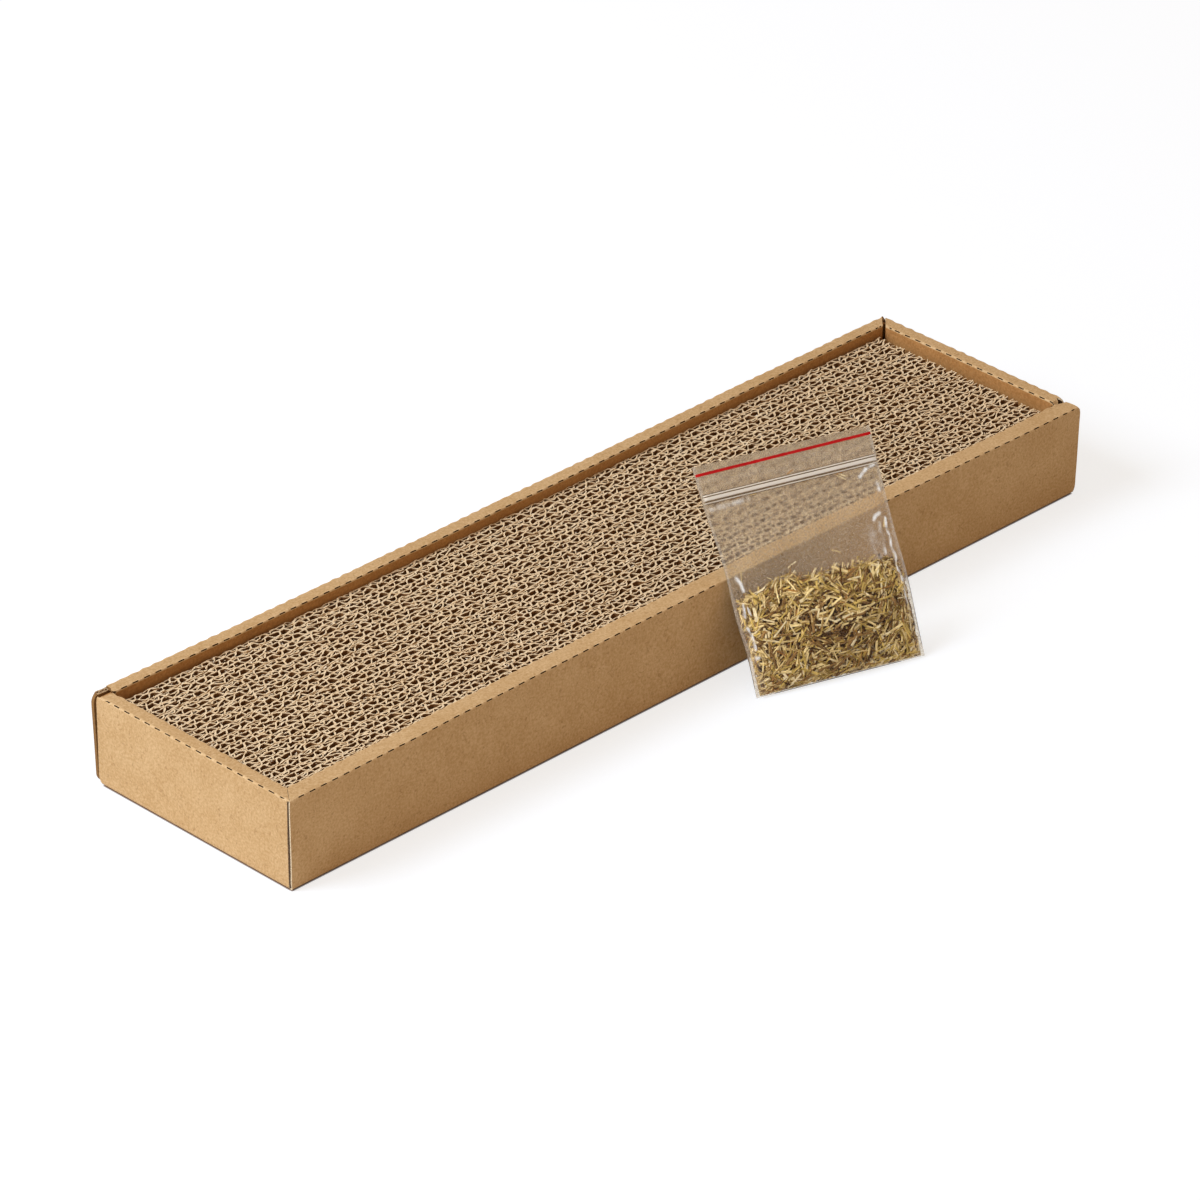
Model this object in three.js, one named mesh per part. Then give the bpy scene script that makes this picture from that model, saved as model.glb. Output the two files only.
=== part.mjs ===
// Cat scratch board: a folded tray of thin corrugated board, a pad of glued board strips that lifts out of it,
// and a clear grip-seal bag of dried catnip that leans on the front rim.
// Millimetres. X runs along the tray, the front wall is at -Y, and Z is up from the floor.
import * as THREE from 'three';

// Tray sizes
const trayLength = 480;
const trayWidth = 121.2;
const trayHeight = 43.2;
const trayBoard = 1.5;
const foldGap = 0.3;
const frontRimWidth = 9.4;
const backRimWidth = 6.2;
const leftRimWidth = 7;
const rightRimWidth = 6.5;
const frontBow = 2.4;
const backBow = 0.7;
const bowSegments = 20;

// Locking tabs and corner flaps
const longTabWidth = 36;
const longTabSpacing = 220;
const endTabWidth = 30;
const tabClearance = 0.3;
const tabRecess = 0.3;
const flapLength = 70;

// Scratching pad
const stripBoard = 6.4;
const stripGlueGap = 0.2;
const padHeight = 36.9;
const padLeftClearance = 0.6;
const padRightClearance = 3.5;
const padSideClearance = 0.3;
const padFloorClearance = 0.3;
const stripUnevenness = 0.5;

// Catnip bag
const bagTopWidth = 86;
const bagBottomWidth = 82;
const bagHeight = 102.7;
const bagYaw = 18.3;
const bagLean = 34.5;
const bagRestX = 14.4;
const bagFloorClearance = 0.3;
const bagRimClearance = 0.3;
const filmThickness = 0.35;
const seamGap = 0.3;
const frontBulge = 6;
const backBulge = 3;
const bulgeFoot = 0.06;
const bulgePeak = 0.2;
const bulgeFade = 0.22;
const bulgeSlack = 0.1;
const seamRoundness = 0.7;
const fillClearance = 0.3;
const fillLeftHeight = 43;
const fillRightHeight = 49;
const fillTopMargin = 3;
const lipHeight = 12.1;
const zipHeight = 3.2;
const zipSpread = 1.4;
const zipProfileDepth = 0.8;
const zipProfileGap = 0.3;
const zipEndMargin = 0.03;
const zipSeatMargin = 0.4;
const bagCellsAcross = 10;

// Values worked out from the sizes above
const halfLength = trayLength / 2;
const halfWidth = trayWidth / 2;
const rimUnderside = trayHeight - trayBoard;
const wallTop = rimUnderside - foldGap;
const panelFoot = trayBoard + foldGap;
const endInset = halfLength - trayBoard - foldGap;
const sideInset = halfWidth - trayBoard - foldGap;
const frontInner = -halfWidth + frontRimWidth;
const backInner = halfWidth - backRimWidth;
const leftInner = -halfLength + leftRimWidth;
const rightInner = halfLength - rightRimWidth;

// How far along the bow of a long wall a place lies: 1 in the middle, 0 at both ends
function bowShare(x) {
  const reach = Math.min(Math.abs(x) / halfLength, 1);
  return (1 - reach ** 2) ** 2;
}

// Long walls keep a straight foot while their tops lean in towards the pad
function leanFront(x, y, z) {
  return new THREE.Vector3(x, y + frontBow * bowShare(x) * (z / trayHeight), z);
}

function leanBack(x, y, z) {
  return new THREE.Vector3(x, y - backBow * bowShare(x) * (z / trayHeight), z);
}

function upright(x, y, z) {
  return new THREE.Vector3(x, y, z);
}

// A closed body made of the filled cells of a grid, with every corner moved by the place function
function gridBody(xs, ys, zs, filled, place) {
  const positions = [];
  const indices = [];
  const known = new Map();
  const corner = (i, j, k) => {
    const key = `${i} ${j} ${k}`;
    if (!known.has(key)) {
      known.set(key, positions.length / 3);
      positions.push(...place(xs[i], ys[j], zs[k], i, j, k).toArray());
    }
    return known.get(key);
  };
  const isFilled = (i, j, k) => {
    const inside = i >= 0 && j >= 0 && k >= 0 && i < xs.length - 1 && j < ys.length - 1 && k < zs.length - 1;
    return inside && filled(i, j, k);
  };
  const addFace = (corners) => {
    const [a, b, c, d] = corners.map(([i, j, k]) => corner(i, j, k));
    indices.push(a, b, c, a, c, d);
  };
  const addCell = (i, j, k) => {
    const [p, q, r] = [i + 1, j + 1, k + 1];
    if (!isFilled(i - 1, j, k)) addFace([[i, j, k], [i, j, r], [i, q, r], [i, q, k]]);
    if (!isFilled(p, j, k)) addFace([[p, j, k], [p, q, k], [p, q, r], [p, j, r]]);
    if (!isFilled(i, j - 1, k)) addFace([[i, j, k], [p, j, k], [p, j, r], [i, j, r]]);
    if (!isFilled(i, q, k)) addFace([[i, q, k], [i, q, r], [p, q, r], [p, q, k]]);
    if (!isFilled(i, j, k - 1)) addFace([[i, j, k], [i, q, k], [p, q, k], [p, j, k]]);
    if (!isFilled(i, j, r)) addFace([[i, j, r], [p, j, r], [p, q, r], [i, q, r]]);
  };
  for (let i = 0; i < xs.length - 1; i += 1) {
    for (let j = 0; j < ys.length - 1; j += 1) {
      for (let k = 0; k < zs.length - 1; k += 1) {
        if (isFilled(i, j, k)) addCell(i, j, k);
      }
    }
  }
  const geometry = new THREE.BufferGeometry();
  geometry.setAttribute('position', new THREE.Float32BufferAttribute(positions, 3));
  geometry.setIndex(indices);
  geometry.computeVertexNormals();
  return geometry;
}

// Places from one end to the other in even steps
function evenSteps(from, to, count) {
  return Array.from({ length: count + 1 }, (_, step) => from + ((to - from) * step) / count);
}

// Even steps with the given extra places let in, and no step left shorter than a millimetre
function stepsThrough(from, to, count, extras) {
  const even = evenSteps(from, to, count);
  const kept = even.filter((at) => at === from || at === to || extras.every((extra) => Math.abs(extra - at) > 1));
  return [...kept, ...extras].sort((a, b) => a - b);
}

const everyCell = () => true;

// Finishes
const linerBoard = { color: 0xc59a66, roughness: 0.85, metalness: 0 };
const stripPaper = { color: 0xb08a60, roughness: 0.95, metalness: 0 };
const clearFilm = { color: 0xdfe3e2, roughness: 0.12, metalness: 0, transparent: true, opacity: 0.35 };
const zipPlastic = { color: 0xe6eae9, roughness: 0.25, metalness: 0, transparent: true, opacity: 0.7 };
const driedStalks = { color: 0x94803f, roughness: 0.9, metalness: 0 };

const group = new THREE.Group();

function addPart(name, geometry, finish) {
  const mesh = new THREE.Mesh(geometry, new THREE.MeshStandardMaterial(finish));
  mesh.name = name;
  group.add(mesh);
}

// Locking tabs: centre lines along a long wall, and the middle of the end walls
const longTabCentres = [-longTabSpacing / 2, longTabSpacing / 2];
const endTabCentre = (frontInner + backInner) / 2;

function tabEdges(centres, width) {
  return centres.flatMap((centre) => [centre - width / 2, centre + width / 2]);
}

// Whether a cell of a grid lies over one of the tabs
function overTab(places, index, centres, width) {
  const middle = (places[index] + places[index + 1]) / 2;
  return centres.some((centre) => Math.abs(middle - centre) < width / 2);
}

// Tray floor, with a slot under each tab
function trayFloor() {
  const longSlot = longTabWidth + 2 * tabClearance;
  const endSlot = endTabWidth + 2 * tabClearance;
  const leftSlot = [leftInner - trayBoard - tabClearance, leftInner + tabClearance];
  const rightSlot = [rightInner - tabClearance, rightInner + trayBoard + tabClearance];
  const frontSlot = [frontInner - trayBoard - tabClearance, frontInner + tabClearance];
  const backSlot = [backInner - tabClearance, backInner + trayBoard + tabClearance];
  const endSlotEdges = tabEdges([endTabCentre], endSlot);
  const xs = [-endInset, ...leftSlot, ...tabEdges(longTabCentres, longSlot), ...rightSlot, endInset];
  const ys = [-sideInset, ...frontSlot, ...endSlotEdges, ...backSlot, sideInset];
  const between = (value, [low, high]) => value > low && value < high;
  const open = (i, j) => {
    const x = (xs[i] + xs[i + 1]) / 2;
    const y = (ys[j] + ys[j + 1]) / 2;
    const atLongSlot = overTab(xs, i, longTabCentres, longSlot);
    const inLongSlot = atLongSlot && (between(y, frontSlot) || between(y, backSlot));
    const inEndSlot = between(y, endSlotEdges) && (between(x, leftSlot) || between(x, rightSlot));
    return inLongSlot || inEndSlot;
  };
  return gridBody(xs, ys, [0, trayBoard], (i, j) => !open(i, j), upright);
}

addPart('tray_floor', trayFloor(), linerBoard);

// Outer walls: the long ones run the whole length, and the end ones stand between them
const longSteps = evenSteps(-halfLength, halfLength, bowSegments);
const outerHeights = [0, wallTop];
addPart('front_outer_wall', gridBody(longSteps, [-halfWidth, -halfWidth + trayBoard], outerHeights,
  everyCell, leanFront), linerBoard);
addPart('back_outer_wall', gridBody(longSteps, [halfWidth - trayBoard, halfWidth], outerHeights,
  everyCell, leanBack), linerBoard);
addPart('left_outer_wall', gridBody([-halfLength, -halfLength + trayBoard], [-sideInset, sideInset], outerHeights,
  everyCell, upright), linerBoard);
addPart('right_outer_wall', gridBody([halfLength - trayBoard, halfLength], [-sideInset, sideInset], outerHeights,
  everyCell, upright), linerBoard);

// Rims: mitred at the front left and back right corners, and lapped at the other two
const rimHeights = [rimUnderside, trayHeight];
const mitreGap = foldGap / 2;

function frontRim() {
  const ys = [-halfWidth, frontInner];
  const place = (x, y, z, i, j) => {
    const mitred = j === 0 ? -halfLength + mitreGap : leftInner + mitreGap;
    return leanFront(i === 0 ? mitred : x, y, z);
  };
  return gridBody(longSteps, ys, rimHeights, everyCell, place);
}

function backRim() {
  const xs = evenSteps(leftInner + foldGap, halfLength, bowSegments);
  const ys = [backInner, halfWidth];
  const place = (x, y, z, i, j) => {
    const mitred = j === 0 ? rightInner - mitreGap : halfLength - mitreGap;
    return leanBack(i === xs.length - 1 ? mitred : x, y, z);
  };
  return gridBody(xs, ys, rimHeights, everyCell, place);
}

function leftRim() {
  const place = (x, y, z, i, j) => {
    const mitred = i === 0 ? -halfWidth + mitreGap : frontInner + mitreGap;
    return new THREE.Vector3(x, j === 0 ? mitred : y, z);
  };
  return gridBody([-halfLength, leftInner], [-halfWidth, halfWidth], rimHeights, everyCell, place);
}

function rightRim() {
  const place = (x, y, z, i, j) => {
    const mitred = i === 0 ? backInner - mitreGap : halfWidth - mitreGap;
    return new THREE.Vector3(x, j === 1 ? mitred : y, z);
  };
  return gridBody([rightInner, halfLength], [frontInner + foldGap, halfWidth], rimHeights, everyCell, place);
}

addPart('front_rim', frontRim(), linerBoard);
addPart('back_rim', backRim(), linerBoard);
addPart('left_rim', leftRim(), linerBoard);
addPart('right_rim', rightRim(), linerBoard);

// Inner walls stand on the floor, and their tabs reach down into the floor's slots
const innerHeights = [tabRecess, panelFoot, wallTop];

function longInnerWall(ys, place) {
  const xs = stepsThrough(-endInset, endInset, bowSegments, tabEdges(longTabCentres, longTabWidth));
  const filled = (i, j, k) => k === 1 || overTab(xs, i, longTabCentres, longTabWidth);
  return gridBody(xs, ys, innerHeights, filled, place);
}

function endInnerWall(xs) {
  const tab = tabEdges([endTabCentre], endTabWidth);
  const ys = [frontInner + foldGap, ...tab, backInner - foldGap];
  const filled = (i, j, k) => k === 1 || overTab(ys, j, [endTabCentre], endTabWidth);
  return gridBody(xs, ys, innerHeights, filled, upright);
}

addPart('front_inner_wall', longInnerWall([frontInner - trayBoard, frontInner], leanFront), linerBoard);
addPart('back_inner_wall', longInnerWall([backInner, backInner + trayBoard], leanBack), linerBoard);
addPart('left_inner_wall', endInnerWall([leftInner - trayBoard, leftInner]), linerBoard);
addPart('right_inner_wall', endInnerWall([rightInner, rightInner + trayBoard]), linerBoard);

// Corner flaps stand on the floor inside the long double walls, flat against the outer panel
const flapSegments = 4;
const flapHeights = [panelFoot, wallTop];

function cornerFlap(side, end) {
  const near = end * endInset;
  const far = end * (endInset - flapLength);
  const outer = side * sideInset;
  const inner = side * (sideInset - trayBoard);
  const xs = evenSteps(Math.min(near, far), Math.max(near, far), flapSegments);
  const ys = [Math.min(outer, inner), Math.max(outer, inner)];
  return gridBody(xs, ys, flapHeights, everyCell, side < 0 ? leanFront : leanBack);
}

addPart('front_left_flap', cornerFlap(-1, -1), linerBoard);
addPart('front_right_flap', cornerFlap(-1, 1), linerBoard);
addPart('back_left_flap', cornerFlap(1, -1), linerBoard);
addPart('back_right_flap', cornerFlap(1, 1), linerBoard);

// Scratching pad: strips on edge across the space that the bowed walls leave, each a little uneven in height
const padFront = frontInner + frontBow + padSideClearance;
const padBack = backInner - backBow - padSideClearance;
const padLeft = leftInner + padLeftClearance;
const padRight = rightInner - padRightClearance;
const padFoot = trayBoard + padFloorClearance;
const stripCount = Math.max(1, Math.round((padBack - padFront) / stripBoard));
const stripPitch = (padBack - padFront) / stripCount;
const unevenPeriod = 5;

function scratchStrip(number) {
  const front = padFront + number * stripPitch;
  const droop = (stripUnevenness * ((number * 2) % unevenPeriod)) / unevenPeriod;
  const ys = [front, front + stripPitch - stripGlueGap];
  return gridBody([padLeft, padRight], ys, [padFoot, padFoot + padHeight - droop], everyCell, upright);
}

for (let number = 0; number < stripCount; number += 1) {
  const label = String(number + 1).padStart(2, '0');
  addPart(`scratch_strip_${label}`, scratchStrip(number), stripPaper);
}

// Bag directions: along its foot, out of its front face, and up its slope
const yaw = THREE.MathUtils.degToRad(bagYaw);
const lean = THREE.MathUtils.degToRad(bagLean);
const bagAcross = new THREE.Vector3(Math.cos(yaw), -Math.sin(yaw), 0);
const bagAhead = new THREE.Vector3(-Math.sin(yaw), -Math.cos(yaw), 0);
const straightUp = new THREE.Vector3(0, 0, 1);
const bagUp = straightUp.clone().multiplyScalar(Math.cos(lean)).addScaledVector(bagAhead, -Math.sin(lean));
const bagOut = bagAhead.clone().multiplyScalar(Math.cos(lean)).addScaledVector(straightUp, Math.sin(lean));

// The bag stands on its foot, and its left seam touches the outer edge of the front rim
const seamHalf = seamGap / 2 + filmThickness;
const bagFootHeight = bagFloorClearance + seamHalf * bagOut.z;
const leftSeam = bagUp.clone().multiplyScalar(bagHeight)
  .addScaledVector(bagAcross, (bagBottomWidth - bagTopWidth) / 2).normalize();
const rimTouch = leanFront(bagRestX, -halfWidth, trayHeight).addScaledVector(bagOut, seamHalf + bagRimClearance);
const seamReach = (rimTouch.z - bagFootHeight) / leftSeam.z;
const bagFootCentre = rimTouch.clone().addScaledVector(leftSeam, -seamReach)
  .addScaledVector(bagAcross, bagBottomWidth / 2);

// A place in the bag: share across from the left seam, height up the slope, depth out of the middle plane
function inBag(across, up, depth) {
  const share = up / bagHeight;
  const width = bagBottomWidth + (bagTopWidth - bagBottomWidth) * share;
  return bagFootCentre.clone()
    .addScaledVector(bagAcross, (across - 0.5) * width)
    .addScaledVector(bagUp, up)
    .addScaledVector(bagOut, depth);
}

const zipTop = bagHeight - lipHeight;
const zipBottom = zipTop - zipHeight;

// How far the film stands off the middle plane: the swell of the fill, and the step over the grip seal
function standOff(across, up, bulge) {
  const share = up / bagHeight;
  const round = (1 - (2 * across - 1) ** 2) ** seamRoundness;
  const rise = 1 - Math.exp(-share / bulgeFoot);
  const past = Math.max(0, share - bulgePeak) / bulgeFade;
  const swell = up >= bagHeight ? 0 : rise * (bulgeSlack + (1 - bulgeSlack) * Math.exp(-(past ** 2)));
  const atZip = up >= zipBottom && up <= zipTop && across > 0 && across < 1;
  return Math.max(bulge * round * swell, atZip ? zipSpread - seamGap / 2 : 0);
}

// Stations that the films and the fill share, so that their faces stay level with each other
const acrossSteps = [0, zipEndMargin, ...evenSteps(0, 1, bagCellsAcross).slice(1, -1), 1 - zipEndMargin, 1];
const lowerShares = [0, 0.02, 0.06, 0.12, 0.2, 0.28, 0.36, 0.42, 0.5, 0.62, 0.74];
const lowerSteps = lowerShares.map((share) => share * bagHeight);
const zipFoot = zipBottom - zipHeight;
const zipHead = zipTop + zipHeight;
const upSteps = [...lowerSteps, zipFoot, zipBottom, zipTop, zipHead, bagHeight];

function bagFilm(side, bulge) {
  const place = (across, layer, up) => {
    const inner = seamGap / 2 + standOff(across, up, bulge);
    const outward = side > 0 ? 1 - layer : layer;
    return inBag(across, up, side * (inner + outward * filmThickness));
  };
  return gridBody(acrossSteps, [0, 1], upSteps, everyCell, place);
}

addPart('bag_front_film', bagFilm(1, frontBulge), clearFilm);
addPart('bag_back_film', bagFilm(-1, backBulge), clearFilm);

// Grip seal: a rib on the front film and a groove profile on the back film, along the whole mouth
function zipProfile(side) {
  const xs = [zipEndMargin, 1 - zipEndMargin];
  const place = (across, layer, up) => {
    const outward = side > 0 ? 1 - layer : layer;
    return inBag(across, up, side * (zipProfileGap / 2 + outward * zipProfileDepth));
  };
  return gridBody(xs, [0, 1], [zipBottom + zipSeatMargin, zipTop - zipSeatMargin], everyCell, place);
}

addPart('zip_rib', zipProfile(1), zipPlastic);
addPart('zip_groove', zipProfile(-1), zipPlastic);

// Catnip: one loose body that fills the foot of the bag, with its top sloping up to the right
function catnipFill() {
  const xs = acrossSteps.slice(1, -1);
  const lowestTop = Math.min(fillLeftHeight, fillRightHeight);
  const zs = [...upSteps.filter((up) => up > 0 && up < lowestTop - fillTopMargin), lowestTop];
  const place = (across, layer, up, i, j, k) => {
    const slope = fillLeftHeight + (fillRightHeight - fillLeftHeight) * across;
    const height = k === zs.length - 1 ? slope : up;
    const front = seamGap / 2 + standOff(across, height, frontBulge) - fillClearance;
    const back = -(seamGap / 2 + standOff(across, height, backBulge) - fillClearance);
    return inBag(across, height, layer === 0 ? front : back);
  };
  return gridBody(xs, [0, 1], zs, everyCell, place);
}

addPart('catnip_fill', catnipFill(), driedStalks);

export default group;
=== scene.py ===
"""Studio scene of a cat scratch board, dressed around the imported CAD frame.

The board is a folded tray of thin corrugated board, a pad of glued board strips standing on edge in it,
and a clear grip-seal bag of dried catnip that leans on its front rim.
Sizes in the classes are millimetres; meshes are written in metres, in the frame of the CAD.
"""
import logging
import math
from dataclasses import dataclass, field
from enum import Enum, IntEnum

import bpy
import numpy as np
from mathutils import Matrix, Vector


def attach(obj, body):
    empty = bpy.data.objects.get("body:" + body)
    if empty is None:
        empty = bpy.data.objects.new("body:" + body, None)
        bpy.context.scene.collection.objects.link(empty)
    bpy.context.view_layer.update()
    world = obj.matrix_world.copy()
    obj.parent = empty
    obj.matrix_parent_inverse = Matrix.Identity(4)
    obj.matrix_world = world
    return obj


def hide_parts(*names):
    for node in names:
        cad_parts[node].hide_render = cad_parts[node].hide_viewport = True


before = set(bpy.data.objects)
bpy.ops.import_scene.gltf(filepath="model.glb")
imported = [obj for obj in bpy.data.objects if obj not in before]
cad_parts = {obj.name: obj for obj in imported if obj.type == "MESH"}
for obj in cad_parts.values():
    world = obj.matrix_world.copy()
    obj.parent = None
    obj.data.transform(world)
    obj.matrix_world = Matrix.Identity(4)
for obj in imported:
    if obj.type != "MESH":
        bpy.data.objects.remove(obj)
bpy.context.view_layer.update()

LOG = logging.getLogger("scratch_board")
Vec = np.ndarray
Rows = tuple[tuple[float, float, float], ...]
Material, Node, Object = bpy.types.Material, bpy.types.Node, bpy.types.Object
MM = 0.001
# Outer sizes of the tray, and how far the top of its front wall bows in at the middle, in millimetres.
TRAY_HALF_LENGTH, TRAY_HALF_WIDTH, TRAY_HEIGHT = 240.0, 60.6, 43.2
FRONT_BOW = 2.4
# Share of a sheet's thickness that a cut goes in, where it doesn't go through.
CUT_DEPTH = 0.7
# Shortest and longest wave of a wandering line or surface, as shares of its period.
WAVE_LENGTHS = (0.55, 1.8)
# Number of waves that are added up, and what their sum is divided by to stay near 1.
LINE_WAVES, LINE_REACH = 5, 2.6
AREA_WAVES, AREA_REACH = 8, 3.2


# Helpers for colour, waves and meshes


def linear(hex_colour: str) -> tuple[float, float, float, float]:
    """Turn an sRGB hex colour into the linear colour that Blender's sockets take.

    Args:
        hex_colour: A colour such as "#cfa877".

    Returns:
        Red, green, blue and alpha, linear, with alpha 1.
    """
    parts = [int(hex_colour[place:place + 2], 16) / 255 for place in (1, 3, 5)]
    red, green, blue = [p / 12.92 if p <= 0.04045 else ((p + 0.055) / 1.055) ** 2.4 for p in parts]
    return red, green, blue, 1.0


def per_mm(size: float) -> float:
    """Give the texture scale at which one feature of a pattern is this many millimetres wide."""
    return 1.0 / (size * MM)


def wander(at: Vec, period: float, seed: int) -> Vec:
    """Make a smooth irregular wave along a line.

    Args:
        at: Places along the line, in millimetres.
        period: Typical length of one wave, in millimetres.
        seed: Number that picks the wave.

    Returns:
        Values between about -1 and 1, one for each place.
    """
    draw = np.random.default_rng(seed)
    total = np.zeros_like(at, dtype=float)
    for _ in range(LINE_WAVES):
        length = period * draw.uniform(*WAVE_LENGTHS)
        total = total + np.sin(2 * np.pi * (at / length + draw.uniform()))
    return total / LINE_REACH


def wander_over(first: Vec, second: Vec, period: float, seed: int) -> Vec:
    """Make a smooth irregular surface of waves that run in all directions.

    Args:
        first: Places along the first direction, in millimetres.
        second: Places along the second direction, in millimetres.
        period: Typical length of one wave, in millimetres.
        seed: Number that picks the surface.

    Returns:
        Values between about -1 and 1, one for each place.
    """
    draw = np.random.default_rng(seed)
    total = np.zeros(np.broadcast(first, second).shape)
    for _ in range(AREA_WAVES):
        length = period * draw.uniform(*WAVE_LENGTHS)
        angle = draw.uniform(0, 2 * np.pi)
        run = first * np.cos(angle) + second * np.sin(angle)
        total = total + np.sin(2 * np.pi * (run / length + draw.uniform()))
    return total / AREA_REACH


def creases(first: Vec, second: Vec, angle: float, period: float, seed: int) -> Vec:
    """Make sharp, slightly wavering creases such as a crumpled film keeps.

    Args:
        first: Places along the first direction, in millimetres.
        second: Places along the second direction, in millimetres.
        angle: Direction across the creases, in degrees from the first direction.
        period: Distance from one crease to the next, in millimetres.
        seed: Number that picks how they waver.

    Returns:
        Values from 0 between creases to 1 on a crease.
    """
    turn = math.radians(angle)
    run = first * math.cos(turn) + second * math.sin(turn)
    side = second * math.cos(turn) - first * math.sin(turn)
    phase = run / period + 0.45 * wander(side, period * 2.5, seed) + 0.3 * wander(run, period * 3, seed + 1)
    return 1 - np.abs(np.sin(np.pi * phase)) ** 0.6


def hump(at: Vec, middle: float, spread: float) -> Vec:
    """Give a bell-shaped hump of height 1 at the middle, which has faded at about two spreads."""
    return np.exp(-(((at - middle) / spread) ** 2))


def distances_along(points: Vec) -> Vec:
    """Give the distance from the first of a line of points to each of them, along the line."""
    return np.cumsum(np.r_[0, np.linalg.norm(np.diff(points, axis=0), axis=1)])


class Shape:
    """Collects the faces of one piece in millimetres and turns them into a Blender object."""

    # Way around a flattened rod, as a multiple of its width.
    girth_share = 2.6

    def __init__(self) -> None:
        """Start with no faces."""
        self.points: list[Vec] = []
        self.quads: list[Vec] = []
        self.finishes: list[Vec] = []
        self.edge_places: list[Vec] = []
        self.marks: list[Vec] = []
        self.count = 0

    def add_points(self, points: Vec, mark: Vec | None = None) -> int:
        """Add points.

        Args:
            points: The points, with the coordinate as the last axis.
            mark: How creased the piece is at each point, from 0 to 1, or None for not at all.

        Returns:
            Number of the first point.
        """
        first = self.count
        flat = np.asarray(points, dtype=float).reshape(-1, 3)
        self.points.append(flat)
        self.marks.append(np.zeros(len(flat)) if mark is None else np.asarray(mark, dtype=float).ravel())
        self.count += len(flat)
        return first

    def add_quads(self, quads: Vec, finish: int | Vec, edge_places: Vec | None = None) -> None:
        """Add four-sided faces.

        Args:
            quads: Point numbers, four for each face.
            finish: Number of the finish in the piece's list, one for all or one for each face.
            edge_places: For faces of a cut edge, the place along the edge in millimetres and the share
                of the board's thickness, for each corner. Other faces get zeros.
        """
        quads = np.asarray(quads, dtype=np.int64).reshape(-1, 4)
        self.quads.append(quads)
        self.finishes.append(np.broadcast_to(finish, (len(quads),)))
        places = np.zeros((len(quads), 4, 2)) if edge_places is None else edge_places
        self.edge_places.append(np.asarray(places, dtype=float).reshape(-1, 4, 2))

    def add_walls(self, kept: Vec, upper: Vec, lower: Vec, runs: tuple[Vec, Vec], finishes: tuple[int, int],
                  flip: bool) -> None:
        """Close the sides of a patch of cells between an upper and a lower grid of points.

        Args:
            kept: Whether each cell belongs to the patch, by cell along and cell across.
            upper: Point numbers of the upper grid.
            lower: Point numbers of the lower grid.
            runs: Place in millimetres of each station along and of each station across.
            finishes: Finish of the ends of the sheet, and of the sides that run along it.
            flip: Whether the faces turn the other way.
        """
        framed = np.zeros((kept.shape[0] + 2, kept.shape[1] + 2), dtype=bool)
        framed[1:-1, 1:-1] = kept
        for axis in (0, 1):
            for step in (0, 1):
                beside = np.roll(framed, 1 - 2 * step, axis=axis)[1:-1, 1:-1]
                row, column = np.argwhere(kept & ~beside).T
                if axis == 0:
                    start, end = (row + step, column), (row + step, column + 1)
                    run = np.stack([runs[1][column], runs[1][column + 1]], axis=1)
                else:
                    start, end = (row, column + step), (row + 1, column + step)
                    run = np.stack([runs[0][row], runs[0][row + 1]], axis=1)
                walls = np.stack([upper[start], upper[end], lower[end], lower[start]], axis=1)
                places = np.zeros((len(walls), 4, 2))
                places[:, :, 0] = run[:, [0, 1, 1, 0]]
                places[:, 2:, 1] = 1
                if (axis == step) != flip:
                    walls, places = walls[:, ::-1], places[:, ::-1]
                self.add_quads(walls, finishes[axis], places)

    def add_sheet(self, outer: Vec, inner: Vec, skins: tuple[int | Vec, int | Vec] = (0, 0),
                  edges: tuple[int, int] = (0, 0), kept: Vec | None = None, pockets: Vec | None = None,
                  pocket_finish: int = 0, mark: Vec | None = None) -> None:
        """Add a closed sheet with thickness from a grid of cells, some cut away and some only cut into.

        Args:
            outer: Points of the outer side, by station along, station across and coordinate.
            inner: Points of the inner side, in the same order.
            skins: Finish of the outer side and of the inner side, one number or one for each cell.
            edges: Finish of the cut ends and of the cuts that run along the sheet.
            kept: Whether each cell is there, by cell along and cell across, or None for all of them.
            pockets: Cells where the outer side is cut into, or None.
            pocket_finish: Finish inside those cuts, which go most of the way through.
            mark: How creased the sheet is at each point, from 0 to 1, or None.
        """
        rows, columns = outer.shape[:2]
        number = np.arange(rows * columns).reshape(rows, columns)
        outside = number + self.add_points(outer, mark)
        inside = number + self.add_points(inner, mark)
        kept = np.ones((rows - 1, columns - 1), dtype=bool) if kept is None else kept
        pockets = np.zeros_like(kept) if pockets is None else pockets & kept
        row, column = np.argwhere(kept)[0]
        corner = outer[row, column]
        normal = np.cross(outer[row + 1, column] - corner, outer[row, column + 1] - corner)
        flip = bool(np.dot(normal, corner - inner[row, column]) < 0)
        way = slice(None, None, -1) if flip else slice(None)
        back = slice(None) if flip else slice(None, None, -1)
        skinned = ((outside, skins[0], way, kept & ~pockets), (inside, skins[1], back, kept))
        for grid, skin, turn, shown in skinned:
            self.add_quads(cell_corners(grid)[shown][:, turn], np.broadcast_to(skin, kept.shape)[shown])
        along = distances_along(outer[:, columns // 2])
        across = distances_along(outer[rows // 2])
        self.add_walls(kept, outside, inside, (along, across), edges, flip)
        if pockets.any():
            floor = number + self.add_points(outer + (inner - outer) * CUT_DEPTH, mark)
            self.add_quads(cell_corners(floor)[pockets][:, way], pocket_finish)
            self.add_walls(pockets, outside, floor, (along, across), (pocket_finish, pocket_finish), not flip)

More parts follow.
